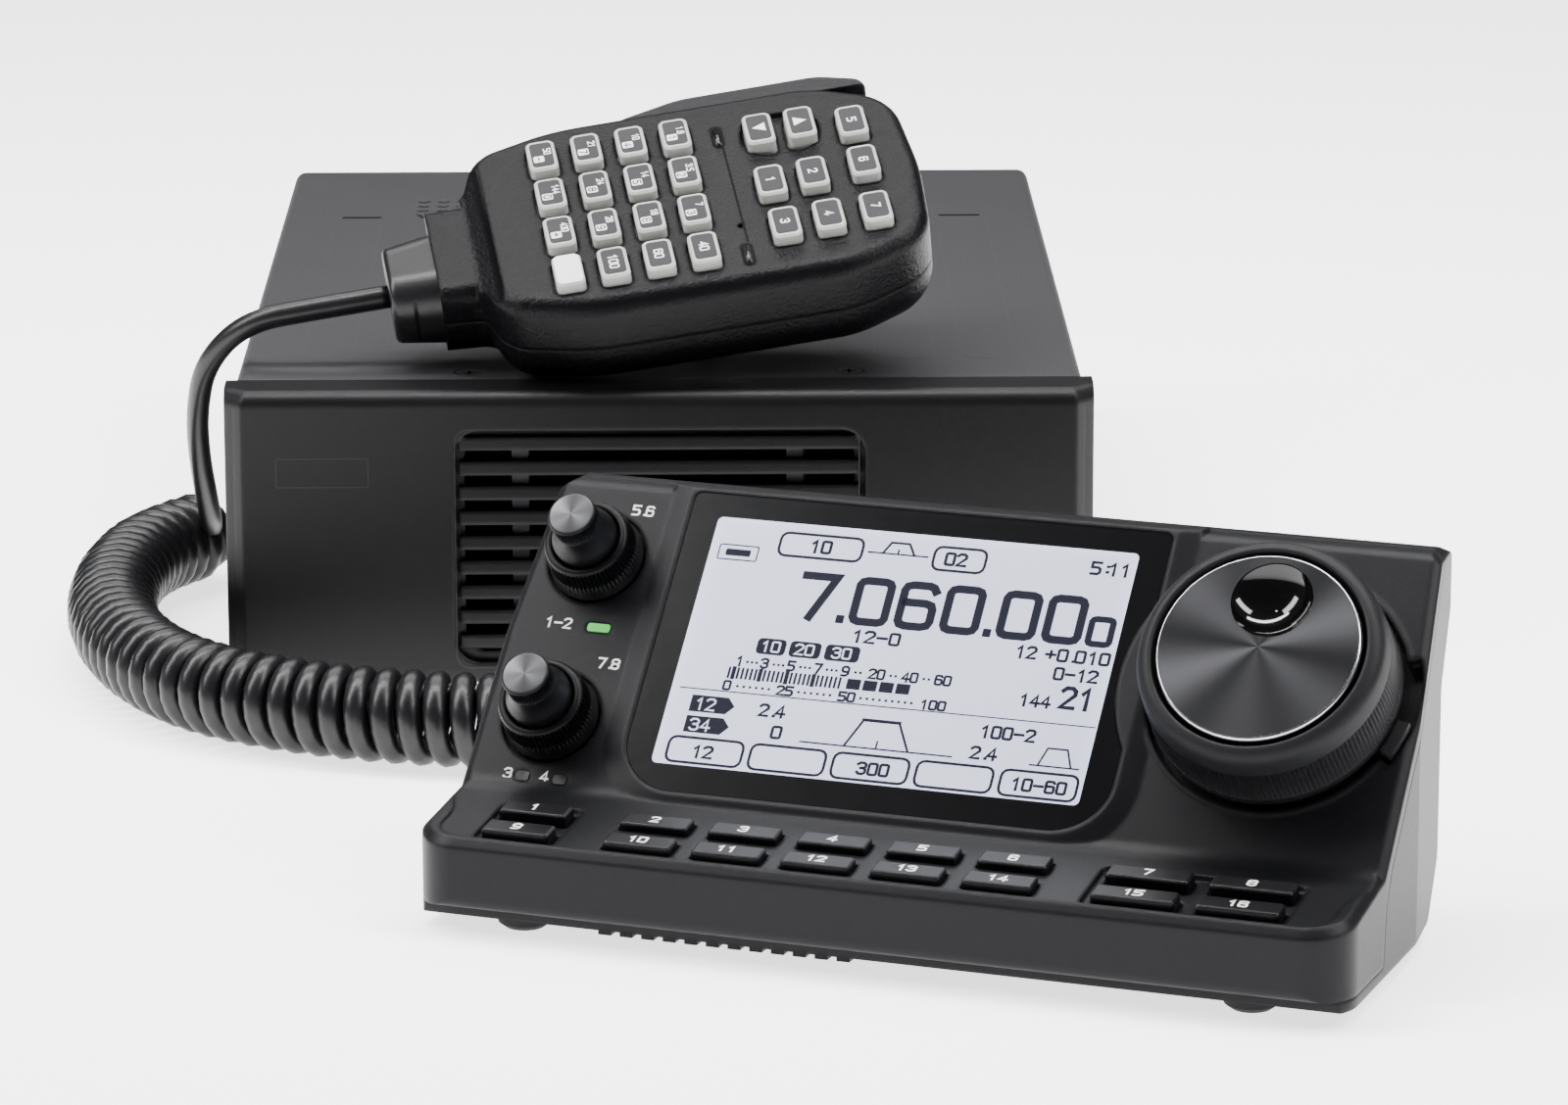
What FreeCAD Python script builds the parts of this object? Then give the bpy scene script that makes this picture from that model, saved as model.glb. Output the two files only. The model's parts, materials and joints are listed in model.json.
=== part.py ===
import FreeCAD, Part
import math
import os
from FreeCAD import Placement, Rotation, Vector

X_AXIS = Vector(1, 0, 0)
Y_AXIS = Vector(0, 1, 0)
Z_AXIS = Vector(0, 0, 1)
ORIGIN = Vector(0, 0, 0)

# ---------------------------------------------------------------- driving dimensions (mm, degrees)

SIZES = {
    # main unit: a flat box that lies on the table
    "main_width": 167.0, "main_height": 58.0, "main_depth": 225.0,
    "panel_depth": 12.0, "panel_chamfer": 3.4, "panel_round": 3.0, "panel_wall": 2.0,
    "cover_width": 164.0, "sheet_wall": 1.2, "cover_split": 12.0,
    "chassis_width": 158.8, "chassis_wall": 3.0, "chassis_floor": 3.0,
    "grille_width": 79.0, "grille_height": 46.0, "grille_centre": 27.5,
    "slat_count": 9, "slat_pitch": 4.9, "slat_thick": 2.6, "slat_deep": 4.6,
    "fan_side": 40.0, "fan_deep": 10.0, "fan_height": 30.0,
    "board_wall": 1.6, "bracket_pitch": 80.0, "bracket_rise": 20.0, "bracket_hole": 2.1,
    # controller: a sloping head in front of the main unit
    "head_width": 165.0, "head_height": 64.3, "head_depth": 78.5, "head_wall": 2.0,
    "head_turn": -21.6, "face_slope": 47.5, "shelf_slope": 9.0, "head_bevel": 1.4, "head_band": 2.0,
    "head_rim": 0.4,
    "key_wide": 12.2, "key_wider": 14.4, "key_deep": 4.4, "key_gap": 0.3, "key_travel": 0.8,
    "window_thick": 1.5, "lcd_width": 77.4, "lcd_height": 48.4,
    "dial_radius": 21.7, "dial_height": 14.4, "dial_face": 17.5, "bowl_radius": 6.9,
    "ring_radius": 8.1, "ring_height": 7.3, "cap_radius": 4.3, "cap_height": 15.9,
    # hand microphone lying on the main unit
    "mic_width": 58.0, "mic_length": 96.4, "mic_front": 11.0, "mic_back": 11.4, "mic_wall": 2.0,
    "mic_key_wide": 5.6, "mic_key_long": 9.2, "mic_key_rise": 2.2, "mic_key_travel": 0.7,
    "ptt_length": 49.0, "ptt_travel": 1.6,
    # curly cord
    "wire": 4.5, "coil": 18.0, "plug_width": 11.7, "plug_height": 8.0, "plug_length": 21.5,
}

doc = FreeCAD.newDocument("MobileTransceiver")
sheet = doc.addObject("Spreadsheet::Sheet", "Sizes")
for row, (alias, value) in enumerate(SIZES.items(), start=1):
    sheet.set("A%d" % row, alias)
    sheet.set("B%d" % row, str(value))
    sheet.setAlias("B%d" % row, alias)
doc.recompute()


def size(alias):
    return float(sheet.get(alias))


# ---------------------------------------------------------------- frames of the three units

HEAD = Placement(Vector(34.1, -299.5, 0), Rotation(Z_AXIS, size("head_turn")))
FACE_FOOT = Vector(0, 28.6, 25.8)
SHELF_FOOT = Vector(0, 1.9, 16.4)
FACE = HEAD.multiply(Placement(FACE_FOOT, Rotation(X_AXIS, size("face_slope"))))
SHELF = HEAD.multiply(Placement(SHELF_FOOT, Rotation(X_AXIS, size("shelf_slope"))))
MIC_TURN = Rotation(Z_AXIS, 5.7).multiply(Rotation(Y_AXIS, -8.2)).multiply(Rotation(X_AXIS, 27.0))
MIC = Placement(Vector(7.8, -86.7, 93.4), MIC_TURN)
MAIN = Placement()

parts = {}


def keep(node, shape_object):
    """Registers a finished sub-part under its node name."""
    shape_object.Label = node
    parts[node] = shape_object
    return shape_object


# ---------------------------------------------------------------- drawing helpers

def outline(points):
    """Closed outline of straight lines with tangent arcs; each point is (x, y) or (x, y, radius)."""
    count = len(points)
    starts, ends, arcs = [], [], []
    for i in range(count):
        corner = Vector(points[i][0], points[i][1], 0)
        radius = points[i][2] if len(points[i]) > 2 else 0.0
        before = Vector(points[i - 1][0], points[i - 1][1], 0) - corner
        after = Vector(points[(i + 1) % count][0], points[(i + 1) % count][1], 0) - corner
        before.normalize()
        after.normalize()
        if radius <= 0:
            starts.append(corner)
            ends.append(corner)
            arcs.append(None)
            continue
        half = before.getAngle(after) / 2
        bisector = (before + after).normalize()
        entry = corner + before * (radius / math.tan(half))
        leave = corner + after * (radius / math.tan(half))
        middle = corner + bisector * (radius / math.sin(half) - radius)
        starts.append(entry)
        ends.append(leave)
        arcs.append(Part.Arc(entry, middle, leave))
    curves = []
    for i in range(count):
        if arcs[i] is not None:
            curves.append(arcs[i])
        following = starts[(i + 1) % count]
        if (following - ends[i]).Length > 1e-6:
            curves.append(Part.LineSegment(ends[i], following))
    return curves


def rectangle(width, depth, radius=0.0, centre=(0, 0)):
    """Corner points of a rounded rectangle."""
    signs = ((-1, -1), (1, -1), (1, 1), (-1, 1))
    return [(centre[0] + sx * width / 2, centre[1] + sy * depth / 2, radius) for sx, sy in signs]


def prism(points, low, high, placement=Placement()):
    """Solid between two heights over a closed outline."""
    wire = Part.Wire([curve.toShape() for curve in outline(points)])
    wire.translate(Vector(0, 0, low))
    solid = Part.Face(wire).extrude(Vector(0, 0, high - low))
    solid.Placement = placement.multiply(solid.Placement)
    return solid


def tapered(foot, tip, height):
    """Solid between one outline at zero height and another above it."""
    wires = [Part.Wire([curve.toShape() for curve in outline(points)]) for points in (foot, tip)]
    wires[1].translate(Vector(0, 0, height))
    return Part.makeLoft(wires, True)


def side_prism(points, half_width):
    """Solid over a (y, z) side profile, reaching half_width to both sides."""
    turn = Placement(Vector(-half_width, 0, 0), Rotation(Y_AXIS, Z_AXIS, X_AXIS, "ZXY"))
    return prism(points, 0, 2 * half_width, turn)


def rod(radius, low, high, place=Placement(), centre=(0, 0)):
    """Upright cylinder between two heights."""
    solid = Part.makeCylinder(radius, high - low, Vector(centre[0], centre[1], low))
    solid.Placement = place.multiply(solid.Placement)
    return solid


def block(width, depth, low, high, centre=(0, 0), radius=0.0, place=Placement()):
    return prism(rectangle(width, depth, radius, centre), low, high, place)


def turned(profile):
    """Solid of revolution about Z from (radius, height) points."""
    corners = [Vector(radius, 0, height) for radius, height in profile]
    wire = Part.makePolygon(corners + [corners[0]])
    return Part.Face(wire).revolve(ORIGIN, Z_AXIS, 360)


def bind(target, prop, value):
    """Sets a property from the sheet when value is an expression, else as a number."""
    if isinstance(value, str):
        target.setExpression(prop, value)
    else:
        setattr(target, prop, value)


def feature(node, shape, place=MAIN):
    """Sub-part whose form is worked out above, put in its unit's frame."""
    item = doc.addObject("Part::Feature", node)
    item.Shape = shape
    item.Placement = place
    return keep(node, item)


def box(name, corner, width, depth, height):
    item = doc.addObject("Part::Box", name)
    for prop, value in (("Length", width), ("Width", depth), ("Height", height)):
        bind(item, prop, value)
    item.Placement = Placement(Vector(*corner), Rotation())
    return item


def cylinder(name, base, radius, height, turn=Rotation()):
    item = doc.addObject("Part::Cylinder", name)
    bind(item, "Radius", radius)
    bind(item, "Height", height)
    item.Placement = Placement(Vector(*base), turn)
    return item


def joined(name, items):
    item = doc.addObject("Part::MultiFuse", name)
    item.Shapes = items
    return item


def cut(name, base, tools):
    item = doc.addObject("Part::Cut", name)
    item.Base = base
    item.Tool = tools[0] if len(tools) == 1 else joined(name + "_tools", tools)
    return item


def origin_plane(body, role):
    for item in body.Origin.OriginFeatures:
        if item.Role == role:
            return item
    raise ValueError(role)


def sketch_on(body, role, points, offset=0.0, name="outline"):
    sketch = body.newObject("Sketcher::SketchObject", body.Name + "_" + name)
    sketch.AttachmentSupport = [(origin_plane(body, role), "")]
    sketch.MapMode = "FlatFace"
    sketch.AttachmentOffset = Placement(Vector(0, 0, offset), Rotation())
    sketch.addGeometry(outline(points), False)
    return sketch


def pad(body, sketch, length, backwards=False):
    item = body.newObject("PartDesign::Pad", sketch.Name + "_pad")
    item.Profile = sketch
    bind(item, "Length", length)
    item.Reversed = backwards
    sketch.Visibility = False
    return item


def pocket(body, sketch, length, backwards=False):
    """Cuts along the sketch's normal, away from or towards its positive side."""
    item = body.newObject("PartDesign::Pocket", sketch.Name + "_pocket")
    item.Profile = sketch
    bind(item, "Length", length)
    item.Reversed = backwards
    return item


def circles_on(body, role, centres, radius, offset=0.0, name="holes"):
    sketch = body.newObject("Sketcher::SketchObject", body.Name + "_" + name)
    sketch.AttachmentSupport = [(origin_plane(body, role), "")]
    sketch.MapMode = "FlatFace"
    sketch.AttachmentOffset = Placement(Vector(0, 0, offset), Rotation())
    for centre in centres:
        sketch.addGeometry(Part.Circle(Vector(centre[0], centre[1], 0), Z_AXIS, radius), False)
    return sketch


def new_body(node, place=MAIN):
    body = doc.addObject("PartDesign::Body", node)
    body.Placement = place
    return keep(node, body)


# ---------------------------------------------------------------- main unit

FRONT = -size("main_depth") / 2
REAR = size("main_depth") / 2
SEAM = FRONT + size("panel_depth")
SCREW_X = 36.8
SCREW_Y = SEAM + 6.0
BRACKET_Z = 30.0
SPEAKER = (-35.0, 70.0)
SOCKET_X = (-58.0, -34.0)
JACKS = ((30.0, 18.0), (44.0, 18.0), (58.0, 18.0))
DC_INLET = (48.0, 38.0)


def bracket_holes():
    """The four bracket screw places on one side, as (y, z)."""
    pitch, rise = size("bracket_pitch"), size("bracket_rise")
    return [(y, BRACKET_Z + z) for y in (-pitch / 2, pitch / 2) for z in (-rise / 2, rise / 2)]


def channel(top, bottom, opening_down):
    """U section of bent sheet as (x, z) points, open downwards or upwards."""
    half, wall = size("cover_width") / 2, size("sheet_wall")
    shut, free = (top, bottom) if opening_down else (bottom, top)
    inside = shut - wall if opening_down else shut + wall
    return [(-half, free), (-half, shut, 2.5), (half, shut, 2.5), (half, free),
            (half - wall, free), (half - wall, inside, 1.3), (wall - half, inside, 1.3),
            (wall - half, free)]


def side_holes(body, radius, reach):
    """Bracket clearance through both sides of a folded cover."""
    sketch = circles_on(body, "YZ_Plane", bracket_holes(), radius, 0.0, "side_holes")
    holes = pocket(body, sketch, reach)
    holes.Midplane = True


def build_top_cover():
    body = new_body("main_top_cover")
    section = channel(size("main_height"), size("cover_split") + 0.2, True)
    pad(body, sketch_on(body, "XZ_Plane", section, -REAR), "Sizes.main_depth - Sizes.panel_depth")
    top = size("main_height")
    grid = [(SPEAKER[0] + 4.2 * (i - 4), SPEAKER[1] + 5.0 * (j - 1.5)) for i in range(9) for j in range(4)]
    pocket(body, circles_on(body, "XY_Plane", grid, 1.3, top, "speaker_holes"), 3.0)
    screws = [(-SCREW_X, SCREW_Y), (SCREW_X, SCREW_Y)]
    pocket(body, circles_on(body, "XY_Plane", screws, 2.9, top, "screw_holes"), 3.0)
    side_holes(body, size("bracket_hole"), 200.0)


def build_bottom_cover():
    body = new_body("main_bottom_cover")
    section = channel(size("cover_split") - 0.2, 0.0, False)
    pad(body, sketch_on(body, "XZ_Plane", section, -REAR), "Sizes.main_depth - Sizes.panel_depth")
    slot = sketch_on(body, "XY_Plane", rectangle(30.0, 2.4, 1.1, (-35.0, -60.0)), 3.0, "vent")
    vent = pocket(body, slot, 5.0)
    repeat = body.newObject("PartDesign::LinearPattern", "vent_row")
    repeat.Originals = [vent]
    repeat.Direction = (origin_plane(body, "Y_Axis"), [""])
    repeat.Length = 108.0
    repeat.Occurrences = 19
    body.Tip = repeat


def build_chassis():
    """Cast tray with a heavy rear wall that carries the fan and the sockets."""
    half = size("chassis_width") / 2
    low, high = size("sheet_wall"), size("main_height") - size("sheet_wall")
    deep = REAR - 0.5 - (SEAM + 1.0)
    tray = box("tray", (-half, SEAM + 1.0, low), "Sizes.chassis_width", deep, high - low)
    wall = size("chassis_wall")
    hollow = box("tray_hollow", (wall - half, SEAM + 1.0 + wall, low + size("chassis_floor")),
                 "Sizes.chassis_width - 2 * Sizes.chassis_wall", deep - wall - 4.0, 60.0)
    backwards = Rotation(X_AXIS, -90)
    cutters = [hollow, cylinder("fan_opening", (0, REAR - 8, size("fan_height")), 18.6, 12.0, backwards)]
    for i, x in enumerate(SOCKET_X):
        cutters.append(cylinder("socket_hole_%d" % i, (x, REAR - 8, 32.0), 8.3, 12.0, backwards))
    for i, (x, z) in enumerate(JACKS):
        cutters.append(cylinder("jack_hole_%d" % i, (x, REAR - 8, z), 4.2, 12.0, backwards))
    cutters.append(box("inlet_hole", (DC_INLET[0] - 11.2, REAR - 8, DC_INLET[1] - 6.2), 22.4, 12.0, 12.4))
    sideways = Rotation(Y_AXIS, 90)
    for i, (y, z) in enumerate(bracket_holes()):
        cutters.append(cylinder("bracket_hole_%d" % i, (-100, y, z), "Sizes.bracket_hole", 200.0, sideways))
    shell = cut("chassis_shell", tray, cutters)
    bosses = []
    for i, (x, y) in enumerate(((-68, -88), (68, -88), (-68, 78), (68, 78))):
        bosses.append(cylinder("board_boss_%d" % i, (x, y, low + 2.0), 3.5, 5.8))
    for i, x in enumerate((-SCREW_X, SCREW_X)):
        bosses.append(cylinder("screw_lug_%d" % i, (x, SCREW_Y, high - 7.0), 4.5, 7.0))
    keep("main_chassis", joined("chassis", [shell] + bosses))


def build_front_panel():
    """Moulded panel with chamfered sides, rounded long edges and a louvred opening."""
    half, bevel = size("main_width") / 2, size("panel_chamfer")
    height, wall = size("main_height"), size("panel_wall")
    plan = [(-half, SEAM), (-half, FRONT + bevel), (bevel - half, FRONT), (half - bevel, FRONT),
            (half, FRONT + bevel), (half, SEAM)]
    solid = prism(plan, 0, height)
    front_edges = [edge for edge in solid.Edges
                   if edge.BoundBox.ZLength < 0.01 and edge.BoundBox.YMax < SEAM - 4]
    solid = solid.makeFillet(size("panel_round"), front_edges)
    middle = size("grille_centre")
    width, tall = size("grille_width"), size("grille_height")
    stand = Placement(Vector(0, FRONT, 0), Rotation(X_AXIS, 90))
    inside = block(2 * (half - wall), height - 2 * wall, -size("panel_depth") - 1, -wall,
                   (0, height / 2), 2.0, stand)
    window = block(width, tall, -wall - 1, 1, (0, middle), 5.0, stand)
    frame = block(width + 4, tall + 4, -wall - 4, -wall, (0, middle), 6.0, stand)
    frame = frame.cut(block(width - 4, tall - 4, -20, 5, (0, middle), 4.0, stand))
    solid = solid.cut(inside).cut(window).fuse(frame)
    count, pitch = int(size("slat_count")), size("slat_pitch")
    for i in range(count):
        z = middle + pitch * (i - (count - 1) / 2) + 0.7
        slat = Part.makeBox(width - 2, size("slat_deep"), size("slat_thick"),
                            Vector(1 - width / 2, FRONT + 0.6, z - size("slat_thick") / 2))
        solid = solid.fuse(slat)
    for x in (-26.6, 26.6):
        corner = Vector(x - 1.7, FRONT + 4.4, middle - tall / 2 + 1)
        solid = solid.fuse(Part.makeBox(3.4, 2.5, tall - 2, corner))
        inner, outer = 24.9, width / 2 + 1
        screen = Part.makeBox(outer - inner, 1.5, tall, Vector(inner, FRONT + 6.8, middle - tall / 2))
        solid = solid.fuse(screen if x > 0 else screen.mirror(ORIGIN, X_AXIS))
    feature("main_front_panel", solid.removeSplitter())


def build_main_board():
    """Circuit board with its shield cans and power devices."""
    base = size("sheet_wall") + 2.0 + 5.8
    board = box("board", (-74, -94, base), 148.0, 178.0, "Sizes.board_wall")
    top = base + size("board_wall") - 0.1
    cans = [("can_radio", -60, -80, 50, 40, 12), ("can_filter", 5, -80, 55, 30, 14),
            ("can_synth", -60, -30, 35, 45, 10), ("power_module", -15, 40, 50, 26, 12),
            ("relay_row", 45, -30, 16, 60, 15)]
    items = [box(name, (x, y, top), w, d, tall) for name, x, y, w, d, tall in cans]
    keep("main_board", joined("main_board_group", [board] + items))


def build_fan():
    """Axial fan against the rear wall: square frame with three stays, and a bladed rotor."""
    side, deep, middle = size("fan_side"), size("fan_deep"), size("fan_height")
    rear_wall = REAR - 4.5
    frame = Part.makeBox(side, deep, side, Vector(-side / 2, rear_wall - deep, middle - side / 2))
    turn = Placement(Vector(0, rear_wall - deep, middle), Rotation(X_AXIS, -90))
    frame = frame.cut(rod(18.6, -1, deep + 1, turn))
    frame = frame.fuse(rod(8.0, deep - 1.6, deep, turn))
    for step in range(3):
        stay = Part.makeBox(18.9, 2.4, 1.6, Vector(0, -1.2, deep - 1.6))
        stay.rotate(ORIGIN, Z_AXIS, 120 * step + 30)
        stay.Placement = turn.multiply(stay.Placement)
        frame = frame.fuse(stay)
    feature("fan_frame", frame)
    hub = Part.makeCylinder(8.0, 6.6, Vector(0, 0, 1.2))
    for step in range(7):
        blade = Part.makeBox(11.2, 5.0, 0.9, Vector(6.4, -2.5, 4.0))
        blade.rotate(Vector(0, 0, 4.45), X_AXIS, 38)
        blade.rotate(ORIGIN, Z_AXIS, 360 / 7 * step)
        hub = hub.fuse(blade)
    feature("fan_rotor", hub, turn)


def build_speaker():
    """Cone frame with its magnet, under the perforated corner of the cover."""
    top = size("main_height") - size("sheet_wall")
    basket = turned([(0, top - 12), (11, top - 12), (11, top - 4), (20, top - 2), (21, top), (17, top),
                     (9, top - 3), (0, top - 3)])
    feature("speaker", basket, Placement(Vector(SPEAKER[0], SPEAKER[1], 0), Rotation()))


def build_rear_sockets():
    """Two threaded aerial sockets, and the power inlet with three round jacks."""
    shells = []
    for x in SOCKET_X:
        shell = turned([(0, -3.9), (6.0, -3.9), (6.0, 0), (7.94, 0), (7.94, 13.5), (6.4, 13.5), (6.4, 4.0),
                        (2.4, 4.0), (2.4, 11.0), (1.8, 11.0), (1.8, 6.0), (0, 6.0)])
        both = shell.fuse(block(20, 20, 0.0, 1.5, (0, 0), 2.0))
        both.Placement = Placement(Vector(x, REAR - 0.5, 32.0), Rotation(X_AXIS, -90))
        shells.append(both)
    feature("antenna_sockets", Part.makeCompound(shells))
    backing = Part.makeBox(44.0, 2.0, 36.0, Vector(20.5, REAR - 6.5, 11.0))
    inlet = Part.makeBox(22.0, 14.0, 12.0, Vector(DC_INLET[0] - 11, REAR - 8, DC_INLET[1] - 6))
    for dx in (-5.5, 5.5):
        corner = Vector(DC_INLET[0] + dx - 3.5, REAR - 2, DC_INLET[1] - 4)
        inlet = inlet.cut(Part.makeBox(7.0, 9.0, 8.0, corner))
    group = backing.fuse(inlet)
    for x, z in JACKS:
        place = Placement(Vector(x, REAR - 8, z), Rotation(X_AXIS, -90))
        group = group.fuse(rod(4.0, 0, 10.0, place)).cut(rod(1.8, 3.0, 12.0, place))
    feature("rear_sockets", group)


def countersunk_screw(length):
    """Flat-head screw with a cross recess; its head lies at z = 0."""
    screw = turned([(0, -length), (1.6, -length), (2.75, 0), (0, 0)])
    for angle in (0, 90):
        slot = Part.makeBox(2.8, 0.6, 1.0, Vector(-1.4, -0.3, -0.7))
        slot.rotate(ORIGIN, Z_AXIS, angle)
        screw = screw.cut(slot)
    return screw


# ---------------------------------------------------------------- controller shells

FACE_TAN = math.tan(math.radians(size("face_slope")))
SHELF_TAN = math.tan(math.radians(size("shelf_slope")))
LOCAL_FACE = Placement(FACE_FOOT, Rotation(X_AXIS, size("face_slope")))
LOCAL_SHELF = Placement(SHELF_FOOT, Rotation(X_AXIS, size("shelf_slope")))
DIAL = (57.3, 24.0)
KNOB_X = -69.4
UPPER_KNOB = 37.4
LOWER_KNOB = 5.9
DIAL_POCKET = 22.5
KNOB_POCKET = 9.0
ROW_FRONT = 3.6
ROW_REAR = 11.6
COLUMNS_LEFT = (-64.2,)
COLUMNS_MIDDLE = (-42.1, -26.1, -10.1, 5.9, 21.9)
COLUMNS_RIGHT = (45.3, 63.2)
JACK_X = -10.0
JACK_Z = 22.0
FOOT_SPREAD = 64.5
LEVER_LOW = -27.0
LEVER_HIGH = 20.0


def on_face(y, depth=0.0):
    """Height of the sloping face, or of a surface that lies depth behind it, at y."""
    shift = depth / math.sin(math.radians(size("face_slope")))
    return FACE_FOOT.z + FACE_TAN * (y - FACE_FOOT.y - shift)


def on_shelf(y, depth=0.0):
    shift = depth / math.cos(math.radians(size("shelf_slope")))
    return SHELF_FOOT.z + SHELF_TAN * (y - SHELF_FOOT.y) - shift


def valley(depth=0.0):
    """Where shelf and face meet, for surfaces that lie depth behind them."""
    rise = on_shelf(0, depth) - on_face(0, depth)
    y = rise / (FACE_TAN - SHELF_TAN)
    return y, on_shelf(y, depth)


def crest(height, depth=0.0):
    """Where the face meets a flat top."""
    return (height - on_face(0, depth)) / FACE_TAN, height


SIDE_BEND = 44.0
TAPER = 4.0
LIP = 4.2


def head_back():
    """Rear part of the side profile: top edge, overhang, hollowed back and base."""
    top, back = size("head_height"), size("head_depth")
    return [(71.0, top, 3.0), (back, 60.0, 2.0), (back, 57.0, 1.2), (66.5, 41.0, 5.0), (66.5, 11.0, 4.0),
            (57.0, 2.2, 3.0)]


def head_hollow_profile():
    wall = size("head_wall")
    top = size("head_height") - wall
    return [(wall, LIP), (wall, on_shelf(wall, wall)), valley(wall) + (8.0,), crest(top, wall),
            (70.4, top), (76.5, 59.0), (76.5, 57.7), (64.5, 41.7), (64.5, 12.4), (55.8, LIP)]


def head_plan(inset=0.0):
    """Top view of the controller: parallel at the front, narrowing a little to the rear."""
    half, back = size("head_width") / 2 - inset, size("head_depth") - inset
    return [(-half, inset, 8.0 - inset), (half, inset, 8.0 - inset), (half, SIDE_BEND),
            (half - TAPER, back, 4.0), (TAPER - half, back, 4.0), (-half, SIDE_BEND)]


def front_region():
    """Everything in front of the seam, which runs parallel to the sloping face."""
    seam = [(-5, LIP), (23.5, LIP), (24.8, 14.4), (27.7, 20.1), (68.2, 64.4), (68.2, 80), (-5, 80)]
    return side_prism(seam, 100)


def shelf_block():
    """Low front part, with a bevelled rim round the key shelf."""
    rear, rim = 40.0, size("head_rim")
    profile = [(0, LIP, 1.8), (0, on_shelf(0, -rim)), (rear, on_shelf(rear, -rim)), (60, on_shelf(rear, -rim)),
               (57, 2.2, 3.0), (3.4, 2.2), (2.6, LIP)]
    solid = side_prism(profile, 100).common(prism(head_plan(), -5, 90))
    edges = []
    for edge in solid.Edges:
        middle = edge.valueAt((edge.FirstParameter + edge.LastParameter) / 2)
        across = abs(middle.x) < 1 and middle.y > 1
        if abs(middle.z - on_shelf(middle.y, -rim)) < 0.02 and middle.y < rear - 0.5 and not across:
            edges.append(edge)
    return solid.makeChamfer(size("head_bevel"), edges)


def face_block():
    """Sloping part, its side edges bevelled along the face and the top."""
    start, top, rim = 18.0, size("head_height"), size("head_rim")
    profile = [(start, on_face(start, -rim)), crest(top, -rim) + (5.0,)] + head_back() + [(30, 2.2)]
    solid = side_prism(profile, 100).common(prism(head_plan(), -5, 90))
    half = size("head_width") / 2
    splay = math.atan2(TAPER, size("head_depth") - SIDE_BEND)
    face_normal = LOCAL_FACE.Rotation.multVec(Z_AXIS)
    for sign in (-1, 1):
        corner = Vector(sign * half, SIDE_BEND, 0)
        walls = [Vector(sign, 0, 0), Vector(sign * math.cos(splay), math.sin(splay), 0)]
        for wall in walls:
            solid = bevelled(solid, corner, wall, FACE_FOOT + face_normal * rim, face_normal)
            solid = bevelled(solid, corner, wall, Vector(0, 0, top), Z_AXIS)
    return solid


def tray():
    """Shallow recess that holds the keys and the face, with a hollow curve between them."""
    end = LOCAL_FACE.multVec(Vector(0, 66.0, 0))
    over = LOCAL_FACE.multVec(Vector(0, 66.0, 12.0))
    start = SHELF_FOOT.y
    profile = [(start, on_shelf(start)), valley() + (6.5,), (end.y, end.z), (over.y, over.z), (start, over.z)]
    reach = size("head_width") / 2 - size("head_band") - 1.6
    plan = [(-reach, start, 5.0), (reach, start, 5.0), (reach, 12.0, 12.0), (reach + 6.0, 25.0),
            (reach + 6.0, 99.0), (-reach - 6.0, 99.0), (-reach - 6.0, 25.0), (-reach, 12.0, 12.0)]
    return side_prism(profile, 100).common(prism(plan, -5, 90))


def bevelled(solid, point, normal, other_point, other_normal):
    """Cuts the edge between two planes, more on the second plane than on the first."""
    down, across = size("head_bevel"), size("head_band")
    blend = normal * (1 / across) + other_normal * (1 / down)
    reach = (normal.dot(point) / across + other_normal.dot(other_point) / down - 1) / blend.Length
    blend.normalize()
    waste = Part.makeBox(400, 400, 50, Vector(-200, -200, 0))
    waste.Placement = Placement(blend * reach, Rotation(Z_AXIS, blend))
    return solid.cut(waste)


def head_shell():
    """Outer form of the controller and its hollow skin, before the case is split."""
    outer = shelf_block().fuse(face_block()).cut(tray())
    hollow = side_prism(head_hollow_profile(), 100).common(prism(head_plan(size("head_wall")), -5, 90))
    return outer, outer.cut(hollow)


WINDOW = [(-54.2, -6.4, 10.0), (33.4, -6.4, 10.0), (33.4, 51.9, 1.5), (-54.2, 51.9, 1.5)]
PLATEAU = 0.9


def grown(points, margin):
    """A rounded rectangle's outline moved out, or in where margin is negative."""
    xs, ys = [p[0] for p in points], [p[1] for p in points]
    middle = ((min(xs) + max(xs)) / 2, (min(ys) + max(ys)) / 2)
    moved = []
    for x, y, radius in points:
        side_x = 1 if x > middle[0] else -1
        side_y = 1 if y > middle[1] else -1
        moved.append((x + side_x * margin, y + side_y * margin, max(0.5, radius + margin)))
    return moved


def window_shape(low, high, margin=0.0, dial_margin=0.0):
    """Rounded rectangle with a bite round the dial."""
    plate = prism(grown(WINDOW, margin), low, high)
    return plate.cut(rod(27.6 - dial_margin, low - 1, high + 1, centre=DIAL))


def display_plateau():
    """Raised field round the window with sloping borders; it turns over the crest at the top."""
    borders = []
    for margin, height in ((5.2, -2.0), (4.4, 0.0), (0.8, PLATEAU)):
        points = grown(WINDOW, margin)
        points = points[:2] + [(points[2][0], 75.0, 1.0), (points[3][0], 75.0, 1.0)]
        wire = Part.Wire([curve.toShape() for curve in outline(points)])
        wire.translate(Vector(0, 0, height))
        borders.append(wire)
    skirt = Part.makeLoft(borders[:2], True, True)
    slope = Part.makeLoft(borders[1:], True, True)
    field = skirt.fuse(slope)
    field = field.fuse(rod(DIAL_POCKET + 1.0, -2.0, 0.4, centre=DIAL))
    field.Placement = LOCAL_FACE.multiply(field.Placement)
    top = size("head_height") + 0.8
    start = 18.0
    side = [(start, on_face(start, -PLATEAU)), crest(top, -PLATEAU) + (0.8,), (68.2, top), (68.2, 40),
            (start + 4, 18)]
    return field.common(side_prism(side, 79.0))


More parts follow.
